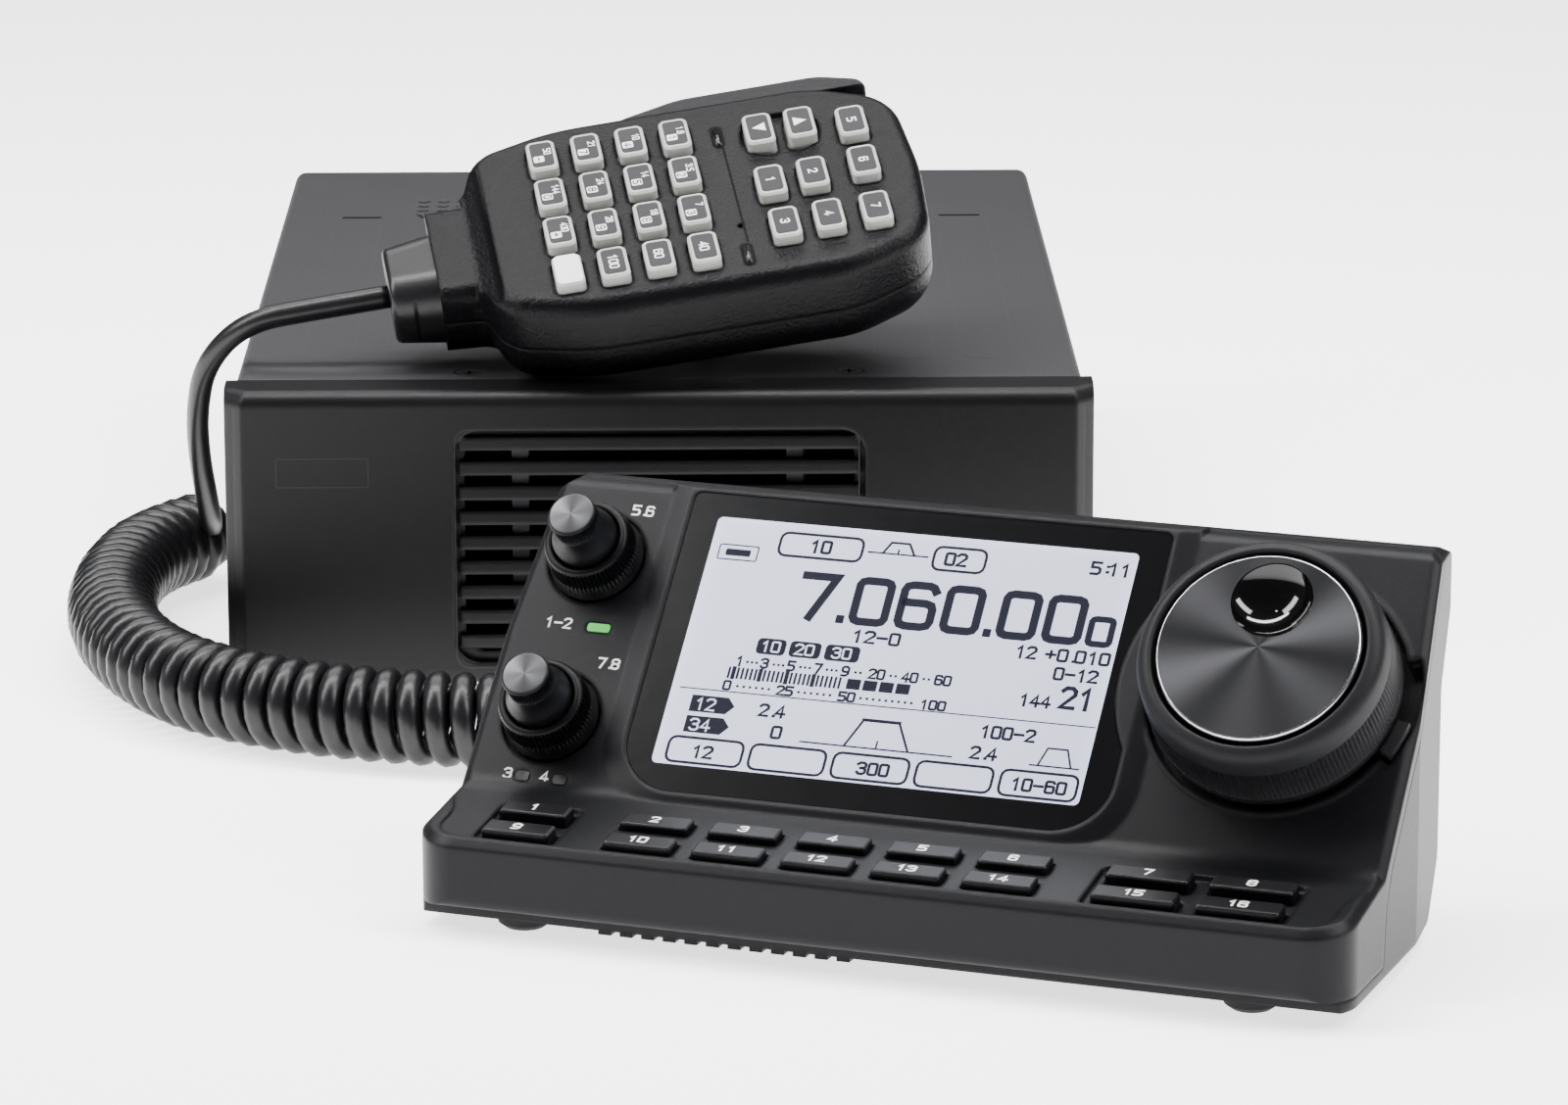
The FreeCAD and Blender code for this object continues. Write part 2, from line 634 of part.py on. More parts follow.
def key_places():
    """Every controller key as (name, x, t, width)."""
    places = []
    groups = (("left", COLUMNS_LEFT, "key_wide"), ("middle", COLUMNS_MIDDLE, "key_wide"),
              ("right", COLUMNS_RIGHT, "key_wider"))
    for group, columns, width in groups:
        for row_name, t in (("rear", ROW_REAR), ("front", ROW_FRONT)):
            for number, x in enumerate(columns, start=1):
                suffix = "" if len(columns) == 1 else "_%d" % number
                places.append(("key_%s_%s%s" % (group, row_name, suffix), x, t, width))
    return places


def front_openings():
    """Everything cut through or into the front case, in the controller's frame."""
    tools = [window_shape(-0.5, 3), window_shape(-9, 3, -3.2)]
    tools.append(rod(DIAL_POCKET, -2.2, 4, centre=DIAL))
    tools.append(rod(3.4, -9, 4, centre=DIAL))
    tools.append(lever_sector(20.5, 24.7, LEVER_LOW - 1, LEVER_HIGH + 1, -2.2, 6))
    for s in (UPPER_KNOB, LOWER_KNOB):
        tools.append(rod(KNOB_POCKET, -1.2, 4, centre=(KNOB_X, s)))
        tools.append(rod(3.8, -9, 4, centre=(KNOB_X, s)))
    for x, s, width in lamp_places():
        tools.append(block(width, 1.7, -9, 3, (x, s), 0.6))
    for tool in tools:
        tool.Placement = LOCAL_FACE.multiply(tool.Placement)
    shelf_tools = [block(14.9, 14.6, -0.8, 4, (-64.2, 7.8), 1.4),
                   block(35.4, 14.6, -0.8, 4, (54.0, 7.8), 1.4)]
    gap = size("key_gap")
    for name, x, t, width in key_places():
        shelf_tools.append(block(size(width) + 2 * gap, size("key_deep") + 2 * gap, -9, 4, (x, t), 0.7))
    for tool in shelf_tools:
        tool.Placement = LOCAL_SHELF.multiply(tool.Placement)
    return tools + shelf_tools


def lamp_places():
    """Light pipes beside the knobs: x, position up the face, width."""
    return ((-65.4, 23.8, 4.3), (-71.6, -6.0, 2.4), (-64.6, -6.0, 2.4))


def lever_sector(inner, outer, start, end, low, high):
    """Part of a ring round the dial's axis."""
    ring = rod(outer, low, high, centre=DIAL).cut(rod(inner, low - 1, high + 1, centre=DIAL))
    corners = [Vector(0, 0, 0)]
    steps = 6
    for i in range(steps + 1):
        angle = math.radians(start + (end - start) * i / steps)
        corners.append(Vector(math.cos(angle), math.sin(angle), 0) * 60)
    wedge = Part.Face(Part.makePolygon(corners + [corners[0]])).extrude(Vector(0, 0, high - low + 2))
    wedge.translate(Vector(DIAL[0], DIAL[1], low - 1))
    return ring.common(wedge)


def build_controller_cases():
    outer, shell = head_shell()
    region = front_region()
    front = shell.common(region)
    stiffeners = [rod(25.4, -4.0, -1.0, centre=DIAL)]
    stiffeners += [rod(10.4, -3.2, -1.0, centre=(KNOB_X, s)) for s in (UPPER_KNOB, LOWER_KNOB)]
    for item in stiffeners:
        item.Placement = LOCAL_FACE.multiply(item.Placement)
        front = front.fuse(item.common(outer).common(region))
    front = front.fuse(display_plateau().common(region))
    for tool in front_openings():
        front = front.cut(tool)
    feature("controller_front_case", front.removeSplitter(), HEAD)
    rear = shell.cut(region)
    for x in (-45.0, 45.0):
        for y in (18.0, 46.0):
            rear = rear.cut(Part.makeCylinder(1.6, 10, Vector(x, y, 0)))
            rear = rear.cut(Part.makeCone(3.2, 1.6, 1.6, Vector(x, y, 2.2)))
    for i in range(12):
        rear = rear.fuse(Part.makeBox(2.3, 5.0, 1.4, Vector(-49.0 + 3.9 * i, 3.4, 1.5)))
    wide = size("plug_width") + 0.8
    tall = size("plug_height") + 0.8
    opening = Part.makeBox(wide, 12, tall, Vector(JACK_X - wide / 2, 60, JACK_Z - tall / 2))
    rear = rear.cut(opening)
    rear = rear.cut(Part.makeCylinder(3.2, 12, Vector(20, 60, JACK_Z), Y_AXIS))
    feature("controller_rear_case", rear.removeSplitter(), HEAD)


# ---------------------------------------------------------------- controller inner parts and controls

def build_display():
    lens = window_shape(-0.5, PLATEAU - 0.15, -0.15, -0.15)
    feature("display_window", lens, FACE)
    module = new_body("lcd_module", FACE.multiply(Placement(Vector(-10.6, 23.4, -8.2), Rotation())))
    glass = sketch_on(module, "XY_Plane", rectangle(size("lcd_width") + 3, size("lcd_height") + 2, 1.0))
    pad(module, glass, 6.0)


def build_controller_boards():
    """Main board behind the display and a narrow board under the keys."""
    upper = block(150.0, 52.0, -10.0, -8.4, (0, 26.0), 1.0, LOCAL_FACE)
    lower = block(150.0, 17.0, -7.0, -5.6, (0, 9.6), 0.5, LOCAL_SHELF)
    feature("controller_boards", Part.makeCompound([upper, lower]), HEAD)


def build_key(node, x, t, width):
    """Key cap that passes through the shelf, with a flange that keeps it in."""
    body = new_body(node, SHELF.multiply(Placement(Vector(x, t, 0), Rotation())))
    deep = size("key_deep")
    flange = pad(body, sketch_on(body, "XY_Plane", rectangle(size(width) + 1.6, deep + 1.6, 0.8), -4.4), 1.4)
    stem = pad(body, sketch_on(body, "XY_Plane", rectangle(size(width), deep, 0.6), -3.2, "cap"), 4.6)
    doc.recompute()
    top = -3.2 + 4.6
    names = ["Edge%d" % (i + 1) for i, edge in enumerate(stem.Shape.Edges)
             if edge.BoundBox.ZMin > top - 0.01]
    soften = body.newObject("PartDesign::Chamfer", node + "_edge")
    soften.Base = (stem, names)
    soften.Size = 0.35
    body.Tip = soften


def build_keys():
    for name, x, t, width in key_places():
        build_key(name, x, t, width)


def build_dial():
    """Tuning dial: hollow grip, metal face and finger bowl on one spindle."""
    radius, high = size("dial_radius"), size("dial_height")
    face = size("dial_face")
    grip = turned([(0, -8.0), (3.0, -8.0), (3.0, 0.6), (19.4, 0.6), (19.4, 0.5), (radius, 0.5),
                   (radius - 0.6, high), (face + 0.9, high + 1.3), (face + 0.4, high + 0.9),
                   (face + 0.4, high - 0.4), (0, high - 0.4)])
    bowl_place = (0.55, 8.9)
    bowl = size("bowl_radius")
    grip = grip.cut(rod(bowl + 0.4, high - 5.4, high + 5, centre=bowl_place))
    place = FACE.multiply(Placement(Vector(DIAL[0], DIAL[1], 0), Rotation()))
    feature("dial_grip", grip, place)
    disc = turned([(0, high - 0.4), (face, high - 0.4), (face, high + 1.1), (face - 0.5, high + 1.6),
                   (0, high + 1.6)])
    disc = disc.cut(rod(bowl + 0.1, high - 3, high + 5, centre=bowl_place))
    feature("dial_face", disc, place)
    cup = rod(bowl, high - 5.4, high + 1.5, centre=bowl_place)
    scoop = Part.makeSphere(8.6, Vector(bowl_place[0], bowl_place[1], high + 1.5 + 5.0))
    feature("finger_bowl", cup.cut(scoop), place)


def build_tension_lever():
    """Ring under the dial with a tab that reaches out at the right-hand side."""
    ring = rod(19.6, -2.0, -0.6, centre=DIAL).cut(rod(12.0, -3, 1, centre=DIAL))
    arm = lever_sector(18.5, 23.9, -25.5, -9.5, -2.0, -0.9)
    tab = lever_sector(22.2, 24.3, -25.5, -9.5, -2.0, 1.2)
    feature("tension_lever", ring.fuse(arm).fuse(tab), FACE)


def build_knob_pair(cap_node, ring_node, s):
    """Outer ring and inner knob on one centre."""
    place = FACE.multiply(Placement(Vector(KNOB_X, s, 0), Rotation()))
    radius, high = size("ring_radius"), size("ring_height")
    cap, tall = size("cap_radius"), size("cap_height")
    ring = turned([(2.5, -6.0), (3.5, -6.0), (3.5, -0.8), (radius + 0.4, -0.8), (radius + 0.4, 0.4),
                   (radius - 0.1, 1.0), (radius, 3.4), (radius - 0.5, high - 0.6), (radius - 1.0, high),
                   (6.3, high), (6.3, 3.0), (2.5, 3.0)])
    feature(ring_node, ring, place)
    knob = turned([(0, -7.0), (2.2, -7.0), (2.2, 3.4), (5.8, 3.4), (5.8, 8.2), (5.2, 9.4), (cap + 0.2, 11.2),
                   (cap, 12.4), (cap, tall - 0.5), (cap - 0.5, tall), (0, tall)])
    feature(cap_node, knob, place)


def build_lamps():
    lenses = [block(width - 0.1, 1.6, -4.0, 0.1, (x, s), 0.5) for x, s, width in lamp_places()]
    feature("status_lamps", Part.makeCompound(lenses), FACE)


def build_feet():
    """Low round pads under the controller."""
    domes = []
    for x in (-FOOT_SPREAD, FOOT_SPREAD):
        for y in (8.5, 50.0):
            foot = turned([(0, 0), (3.4, 0), (4.6, 0.9), (5.0, 2.2), (0, 2.2)])
            foot.translate(Vector(x, y, 0))
            domes.append(foot)
    feature("controller_feet", Part.makeCompound(domes), HEAD)


def build_rear_jacks():
    """Modular socket for the microphone and a round socket beside it."""
    width, height = size("plug_width"), size("plug_height")
    corner = Vector(JACK_X - width / 2 - 2, 50.5, JACK_Z - height / 2 - 2)
    housing = Part.makeBox(width + 4, 14, height + 4, corner)
    throat = Part.makeBox(width + 0.6, 16, height + 0.6,
                          Vector(JACK_X - width / 2 - 0.3, 53.4, JACK_Z - height / 2 - 0.3))
    barrel = Part.makeCylinder(3.1, 14, Vector(20, 52.5, JACK_Z), Y_AXIS)
    barrel = barrel.fuse(Part.makeBox(9, 11, 9, Vector(15.5, 53.5, JACK_Z - 4.5)))
    barrel = barrel.cut(Part.makeCylinder(1.8, 12, Vector(20, 56.5, JACK_Z), Y_AXIS))
    feature("rear_jacks", Part.makeCompound([housing.cut(throat), barrel]), HEAD)


def build_screws():
    """Flat-head screws of the main cover and the controller's base, as one group."""
    top = size("main_height")
    screws = []
    for x in (-SCREW_X, SCREW_X):
        screw = countersunk_screw(size("sheet_wall"))
        screw.translate(Vector(x, SCREW_Y, top))
        screws.append(screw)
    feature("case_screws", Part.makeCompound(screws))


# ---------------------------------------------------------------- hand microphone

MIC_KEY_X = (-28.4, -19.6, -10.8, -2.0)
MIC_KEY_Y = (17.0, 5.0, -7.0, -19.0)
MIC_FLOOR = -2.2
MIC_SEAM = MIC_FLOOR - size("mic_front")
MIC_BACK = MIC_SEAM - size("mic_back")
NECK_DROP = 3.4
CORD_AXIS = -15.0
BOOT_START = -53.0
PTT_MIDDLE = 13.0


def mic_plan(inset=0.0):
    """Face view of the microphone: wide head, shoulders and a short neck, (x, y, radius)."""
    half = size("mic_width") / 2
    upper = [(BOOT_START, 13.4), (-45.0, 14.2, 3.0), (-42.0, 24.0, 9.0), (-26.0, half - 0.3, 40.0),
             (26.0, half, 22.0), (41.8, 22.0, 12.0), (43.4, 0.0, 60.0)]
    lower = [(x, -y, r[0]) if r else (x, -y) for x, y, *r in reversed(upper[:-1])]
    points = [(x, y) if not r else (x, y, r[0]) for x, y, *r in upper] + lower
    if inset == 0:
        return points
    wire = Part.Wire([curve.toShape() for curve in outline(points)])
    return wire.makeOffset2D(-inset)


def mic_body(low, high, inset=0.0):
    plan = mic_plan(inset)
    if inset == 0:
        return prism(plan, low, high)
    wire = plan.copy()
    wire.translate(Vector(0, 0, low))
    return Part.Face(wire).extrude(Vector(0, 0, high - low))


def level_edges(solid, height):
    """Edges that lie at one height, leaving out the short end of the neck."""
    return [edge for edge in solid.Edges if edge.BoundBox.ZLength < 0.01
            and abs(edge.BoundBox.ZMin - height) < 0.01 and edge.BoundBox.XMax > BOOT_START + 0.1]


def neck_step(wall):
    """Space above the neck, where the keypad face rolls down to it."""
    low = MIC_FLOOR - NECK_DROP - wall
    start = -40.2 + wall
    profile = [(-70, low), (start - 5.0, low, 3.0), (start - 1.2, MIC_FLOOR - 1.2, 3.0),
               (start, MIC_FLOOR + 4), (-70, 9)]
    step = prism(profile, -40, 40, Placement(Vector(), Rotation(X_AXIS, 90)))
    reach = 13.9 - wall
    section = [(reach, -30), (reach, low, 3.4), (-reach, low, 3.4), (-reach, -30)]
    along = Placement(Vector(-60, 0, 0), Rotation(Y_AXIS, Z_AXIS, X_AXIS, "ZXY"))
    corners = Part.makeBox(14.2, 40, 12, Vector(-60, -20, low - 5)).cut(prism(section, 0, 14.3, along))
    return step.fuse(corners)


def number_keys():
    return [("mic_number_row_%d" % (j + 1), [(x, y) for x in MIC_KEY_X]) for j, y in enumerate(MIC_KEY_Y)]


def function_keys():
    return [(13.8, -2.0), (22.2, -1.6), (14.4, -15.4), (23.0, -15.2),
            (32.3, 12.2), (32.4, -0.6), (32.2, -15.2)]


UP_KEY = (22.4, 14.4)
DOWN_KEY = (14.2, 14.4)


def mic_key(x, y, wide, long):
    """Key cap that widens a little towards its foot, with a flange under the shell."""
    gap = 0.3
    top = block(wide, long, MIC_FLOOR - 3.2, MIC_FLOOR + size("mic_key_rise"), (x, y), 1.3)
    flange = block(wide + 1.4, long + 0.8, MIC_FLOOR - 4.2, MIC_FLOOR - 3.0 + gap, (x, y), 1.0)
    edges = level_edges(top, MIC_FLOOR + size("mic_key_rise"))
    return top.makeChamfer(0.4, edges).fuse(flange)


def build_mic_shells():
    wall = size("mic_wall")
    front = mic_body(MIC_SEAM, MIC_FLOOR)
    front = front.makeFillet(3.4, level_edges(front, MIC_FLOOR))
    front = front.cut(neck_step(0.0))
    inner = mic_body(MIC_SEAM - 1, MIC_FLOOR - wall, wall)
    front = front.cut(inner.cut(neck_step(wall)))
    gap = 0.35
    holes = [(x, y) for name, keys in number_keys() for x, y in keys] + function_keys()
    for x, y in holes:
        front = front.cut(block(size("mic_key_wide") + 2 * gap, size("mic_key_long") + 2 * gap,
                                MIC_FLOOR - 6, 2, (x, y), 1.5))
    front = front.cut(block(15.6, 12.6, MIC_FLOOR - 0.9, 2, (18.3, 14.4), 5.5))
    for x, y in (UP_KEY, DOWN_KEY):
        front = front.cut(block(5.6 + 2 * gap, 9.4 + 2 * gap, MIC_FLOOR - 6, 2, (x, y), 1.6))
    front = front.cut(Part.makeCylinder(0.7, 6, Vector(6.2, -12.0, MIC_FLOOR - 4)))
    half = size("mic_width") / 2
    slot = Part.makeBox(size("ptt_length") + 0.8, 8, 8.2, Vector(PTT_MIDDLE - size("ptt_length") / 2 - 0.4,
                                                             half - 3.4, MIC_FLOOR - 9.4))
    front = front.cut(slot)
    neck = rod(3.0, -30, 30, Placement(Vector(BOOT_START, 0, CORD_AXIS), Rotation(Y_AXIS, 90)))
    front = front.cut(neck)
    feature("mic_front_shell", front.removeSplitter(), MIC)
    back = mic_body(MIC_BACK, MIC_SEAM)
    back = back.makeFillet(9.0, level_edges(back, MIC_BACK))
    inner = mic_body(MIC_BACK + wall, MIC_SEAM + 1, wall + 3.8)
    back = back.cut(inner)
    back = back.cut(neck)
    back = back.cut(rod(2.9, MIC_BACK - 1, MIC_BACK + 6))
    feature("mic_rear_shell", back.removeSplitter(), MIC)


def build_mic_keys():
    wide, long = size("mic_key_wide"), size("mic_key_long")
    for name, keys in number_keys():
        feature(name, Part.makeCompound([mic_key(x, y, wide, long) for x, y in keys]), MIC)
    caps = [mic_key(x, y, wide, long) for x, y in function_keys()]
    feature("mic_function_keys", Part.makeCompound(caps), MIC)
    feature("mic_up_key", mic_key(UP_KEY[0], UP_KEY[1], 5.6, 9.4), MIC)
    feature("mic_down_key", mic_key(DOWN_KEY[0], DOWN_KEY[1], 5.6, 9.4), MIC)


def build_mic_ptt():
    """Long push-to-talk bar in the far side of the microphone."""
    half, length = size("mic_width") / 2, size("ptt_length")
    low, high = MIC_FLOOR - 9.0, MIC_FLOOR - 1.6
    left, right = PTT_MIDDLE - length / 2, PTT_MIDDLE + length / 2
    plan = [(left, half - 1.4), (right, half - 1.4), (right, half + 1.0, 3.0), (right - 9, half + 4.2, 12.0),
            (left + 12, half + 4.0, 18.0), (left, half + 0.6, 1.0)]
    bar = prism(plan, low, high)
    edges = [edge for edge in bar.Edges if edge.BoundBox.ZLength < 0.01 and edge.BoundBox.YMin > half + 0.3]
    bar = bar.makeFillet(1.4, edges)
    feature("mic_ptt_bar", bar, MIC)


def build_mic_inside():
    """Board with the voice capsule."""
    board = block(66, 44, MIC_FLOOR - 8.0, MIC_FLOOR - 6.6, (0, 0), 2.0)
    capsule = rod(4.0, MIC_FLOOR - 6.7, MIC_FLOOR - 2.9, centre=(6.2, -12.0))
    feature("mic_board", board.fuse(capsule), MIC)


def build_mic_hanger():
    """Mushroom button on the back for a hanger clip."""
    button = turned([(0, -34.6), (5.6, -34.6), (6.0, -34.0), (6.0, -32.8), (2.8, -31.6),
                     (2.8, MIC_BACK + 2.0),
                     (4.2, MIC_BACK + 2.0), (4.2, MIC_BACK + 3.5), (0, MIC_BACK + 3.5)])
    feature("mic_hanger_button", button, MIC)


# ---------------------------------------------------------------- curly cord

def bent_path(points):
    """Straight runs joined by tangent arcs; returns the wire and its smallest radius."""
    corners = [Vector(*point) for point in points]
    edges, radii = [], []
    last = corners[0]
    for before, corner, after in zip(corners, corners[1:], corners[2:]):
        back, ahead = before - corner, after - corner
        shorter = min(back.Length, ahead.Length)
        half_turn = (math.pi - back.getAngle(ahead)) / 2
        reach = 0.45 * shorter
        radius = reach / math.tan(half_turn)
        back.normalize()
        ahead.normalize()
        entry, leave = corner + back * reach, corner + ahead * reach
        bisector = (back + ahead).normalize()
        middle = corner + bisector * (radius / math.cos(half_turn) - radius)
        edges.append(Part.LineSegment(last, entry).toShape())
        edges.append(Part.Arc(entry, middle, leave).toShape())
        radii.append(radius)
        last = leave
    edges.append(Part.LineSegment(last, corners[-1]).toShape())
    return Part.Wire(edges), radii


def tube(node, points, diameter):
    path, radii = bent_path(points)
    start = Vector(*points[0])
    direction = Vector(*points[1]) - start
    section = Part.Wire(Part.Circle(start, direction, diameter / 2).toShape())
    solid = path.makePipeShell([section], True, False)
    expected = math.pi * diameter ** 2 / 4 * path.Length
    print("%s length %.1f, radii %s, volume ratio %.4f"
          % (node, path.Length, " ".join("%.0f" % r for r in radii), solid.Volume / expected))
    return feature(node, solid)


BOOT_TIP = MIC.multVec(Vector(-62.5, 0, CORD_AXIS))
BOOT_DIRECTION = MIC.Rotation.multVec(Vector(-1, 0, 0))
PLUG_TAIL = HEAD.multVec(Vector(JACK_X, 66.5 + 12.0, JACK_Z))
FLOOR_AXIS = 9.0
COIL_START = (-92.6, -24.5, FLOOR_AXIS)
COIL_ROUTE = [COIL_START, (-103, -37, 9), (-108.5, -62, 9), (-108, -92, 9), (-101.5, -120, 9),
              (-88, -145, 9), (-66, -161, 9), (-40, -169.5, 9), (-14, -172.5, 9), (4, -172, 9)]
LEAD_ROUTE = [tuple(BOOT_TIP), tuple(BOOT_TIP + BOOT_DIRECTION * 15), (-80.5, -87, 66.6),
              (-88.8, -83, 57.5), (-91.2, -75.5, 46), (-91.6, -65.5, 34.5), (-91.2, -53.5, 23.5),
              (-91.2, -40, 14.2), COIL_START]
TAIL_ROUTE = [COIL_ROUTE[-1], (20, -171.5, 9.2), (36, -173.5, 10.2), (49.5, -180.5, 13.2), (58, -192, 17.6),
              (60, -206, 21.2), tuple(PLUG_TAIL)]


def build_mic_boot():
    """Ribbed strain relief at the microphone's neck."""
    along = Rotation(Y_AXIS, -90)
    place = MIC.multiply(Placement(Vector(BOOT_START, 0, CORD_AXIS), along))
    boot = tapered(rectangle(16.8, 22.4, 7.2), rectangle(15.0, 19.2, 6.6), 9.5)
    boot = boot.makeFillet(1.4, [edge for edge in boot.Edges if edge.BoundBox.ZMin > 9.4])
    ribs = prism(rectangle(24, 30, 7.0), 4.6, 5.4).cut(prism(rectangle(17.0, 19.6, 6.5), 4, 6))
    feature("mic_boot", boot.cut(ribs), place)


def build_plug():
    """Modular plug with its latch, seated in the controller's socket."""
    width, height, length = size("plug_width"), size("plug_height"), size("plug_length")
    front = 66.5 + 12.0 - length
    plug = Part.makeBox(width, length - 4, height, Vector(JACK_X - width / 2, front, JACK_Z - height / 2))
    shoulder = Part.makeBox(width - 3, 4.1, height - 2, Vector(JACK_X - width / 2 + 1.5, front + length - 4.1,
                                                               JACK_Z - height / 2 + 1))
    feature("modular_plug", plug.fuse(shoulder), HEAD)


# ---------------------------------------------------------------- build, check and write

def build_all():
    build_chassis()
    build_top_cover()
    build_bottom_cover()
    build_front_panel()
    build_main_board()
    build_fan()
    build_speaker()
    build_rear_sockets()
    build_screws()
    build_controller_cases()
    build_display()
    build_controller_boards()
    build_keys()
    build_dial()
    build_tension_lever()
    build_knob_pair("af_gain_knob", "rf_squelch_ring", UPPER_KNOB)
    build_knob_pair("channel_knob", "bank_ring", LOWER_KNOB)
    build_lamps()
    build_feet()
    build_rear_jacks()
    build_mic_shells()
    build_mic_keys()
    build_mic_ptt()
    build_mic_inside()
    build_mic_hanger()
    build_mic_boot()
    build_plug()
    tube("cord_lead", LEAD_ROUTE, size("wire"))
    tube("cord_coil", COIL_ROUTE, size("coil"))
    tube("cord_tail", TAIL_ROUTE, size("wire"))


def check_and_write():
    doc.recompute()
    for item in doc.Objects:
        if "Invalid" in item.State or "Error" in item.State:
            raise RuntimeError("%s failed: %s" % (item.Label, item.State))
    os.makedirs("parts", exist_ok=True)
    for node, item in parts.items():
        shape = item.Shape
        if shape.isNull() or not shape.isValid() or not shape.Solids:
            raise RuntimeError("%s has no valid solid" % node)
    for node, item in parts.items():
        item.Shape.exportStep("parts/%s.step" % node)
    print("wrote %d parts" % len(parts))


build_all()
check_and_write()
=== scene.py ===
import json
import math
import bpy
from mathutils import Matrix, Vector


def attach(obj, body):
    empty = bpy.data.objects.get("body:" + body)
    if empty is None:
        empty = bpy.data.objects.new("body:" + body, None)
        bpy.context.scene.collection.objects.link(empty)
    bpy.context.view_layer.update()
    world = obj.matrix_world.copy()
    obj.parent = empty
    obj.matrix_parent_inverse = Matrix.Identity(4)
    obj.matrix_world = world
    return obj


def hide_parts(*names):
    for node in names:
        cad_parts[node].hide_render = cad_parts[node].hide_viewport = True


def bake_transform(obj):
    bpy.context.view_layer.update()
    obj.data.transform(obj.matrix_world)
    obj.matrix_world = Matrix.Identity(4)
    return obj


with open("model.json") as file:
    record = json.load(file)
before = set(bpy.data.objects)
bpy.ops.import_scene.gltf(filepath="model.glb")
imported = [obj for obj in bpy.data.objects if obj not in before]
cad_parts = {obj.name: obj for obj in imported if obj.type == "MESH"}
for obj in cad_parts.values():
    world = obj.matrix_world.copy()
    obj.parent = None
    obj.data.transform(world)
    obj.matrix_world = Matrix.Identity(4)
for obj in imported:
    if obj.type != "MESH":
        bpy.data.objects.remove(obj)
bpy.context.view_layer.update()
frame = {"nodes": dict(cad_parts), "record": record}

# ---------------------------------------------------------------- frames, in metres

MM = 0.001


def moved(x, y, z):
    return Matrix.Translation((x * MM, y * MM, z * MM))


def turned(degrees, axis):
    return Matrix.Rotation(math.radians(degrees), 4, axis)


ORIGIN = Matrix.Identity(4)
HEAD = moved(34.1, -299.5, 0) @ turned(-21.6, "Z")
FACE = HEAD @ moved(0, 28.6, 25.8) @ turned(47.5, "X")
SHELF = HEAD @ moved(0, 1.9, 16.4) @ turned(9.0, "X")
MIC = moved(7.8, -86.7, 93.4) @ turned(5.7, "Z") @ turned(-8.2, "Y") @ turned(27.0, "X")
PANEL = moved(0, -112.5, 0) @ turned(90, "X")


def spot(place, x, y, z):
    return place @ Vector((x * MM, y * MM, z * MM))


# ---------------------------------------------------------------- camera and lights

LENS = 151.79
CAMERA_PLACE = (0.00499, -1.34613, 0.33627)
CAMERA_TURN = (75.8921, 0.0893, -0.8977)
FLOOR_REACH = 6.0
FLOOR_HEIGHT = -0.0004
FLOOR_GLOW = 2.0
SKY_GLOW = 0.1
# name, place, aim, size, power in watts
LIGHTS = (
    ("top_back", (0.0, 0.55, 0.9), (0, -0.15, 0.03), (1.2, 0.3), 9),
    ("top_left", (-0.75, -0.3, 0.75), (0, -0.2, 0.03), (0.25, 0.7), 12),
    ("top_right", (0.75, -0.45, 0.75), (0.05, -0.25, 0.03), (0.2, 0.6), 9),
    ("sheen", (0.0, -0.08, 0.95), (0.0, -0.18, 0.05), (1.3, 0.12), 24),
)


def add_camera():
    data = bpy.data.cameras.new("camera")
    data.sensor_width = 36.0
    data.lens = LENS
    data.clip_end = 10.0
    camera = bpy.data.objects.new("camera", data)
    camera.location = CAMERA_PLACE
    camera.rotation_euler = [math.radians(degrees) for degrees in CAMERA_TURN]
    bpy.context.scene.collection.objects.link(camera)
    bpy.context.scene.camera = camera


def add_light(name, location, target, size, power):
    data = bpy.data.lights.new(name, "AREA")
    data.shape = "RECTANGLE"
    data.size, data.size_y = size
    data.energy = power
    light = bpy.data.objects.new(name, data)
    light.location = location
    aim = Vector(target) - Vector(location)
    light.rotation_euler = aim.to_track_quat("-Z", "Y").to_euler()
    bpy.context.scene.collection.objects.link(light)


def add_stage():
    world = bpy.data.worlds.new("surroundings")
    world.use_nodes = True
    background = world.node_tree.nodes["Background"]
    background.inputs["Color"].default_value = (0.95, 0.96, 1.0, 1)
    background.inputs["Strength"].default_value = SKY_GLOW
    bpy.context.scene.world = world
    square = ((-1, -1), (1, -1), (1, 1), (-1, 1))
    corners = [(x * FLOOR_REACH, y * FLOOR_REACH, FLOOR_HEIGHT) for x, y in square]
    mesh = bpy.data.meshes.new("floor")
    mesh.from_pydata(corners, [], [(0, 1, 2, 3)])
    floor = bpy.data.objects.new("floor", mesh)
    bpy.context.scene.collection.objects.link(floor)
    white = plain("floor_white", (0.95, 0.95, 0.95), 0.9)
    shader = white.node_tree.nodes["Principled BSDF"]
    shader.inputs["Emission Color"].default_value = (1, 1, 1, 1)
    shader.inputs["Emission Strength"].default_value = FLOOR_GLOW
    floor.data.materials.append(white)
    for values in LIGHTS:
        add_light(*values)


# ---------------------------------------------------------------- materials

def plain(name, colour, rough, metallic=0.0):
    material = bpy.data.materials.new(name)
    material.use_nodes = True
    shader = material.node_tree.nodes["Principled BSDF"]
    shader.inputs["Base Color"].default_value = (*colour, 1)
    shader.inputs["Roughness"].default_value = rough
    shader.inputs["Metallic"].default_value = metallic
    return material


def add_node(material, kind, **values):
    node = material.node_tree.nodes.new(kind)
    for name, value in values.items():
        if name in node.inputs:
            node.inputs[name].default_value = value
        else:
            setattr(node, name, value)
    return node


def link(material, source, target):
    material.node_tree.links.new(source, target)


BROAD_SCALE = 35.0
BEVEL_SAMPLES = 6


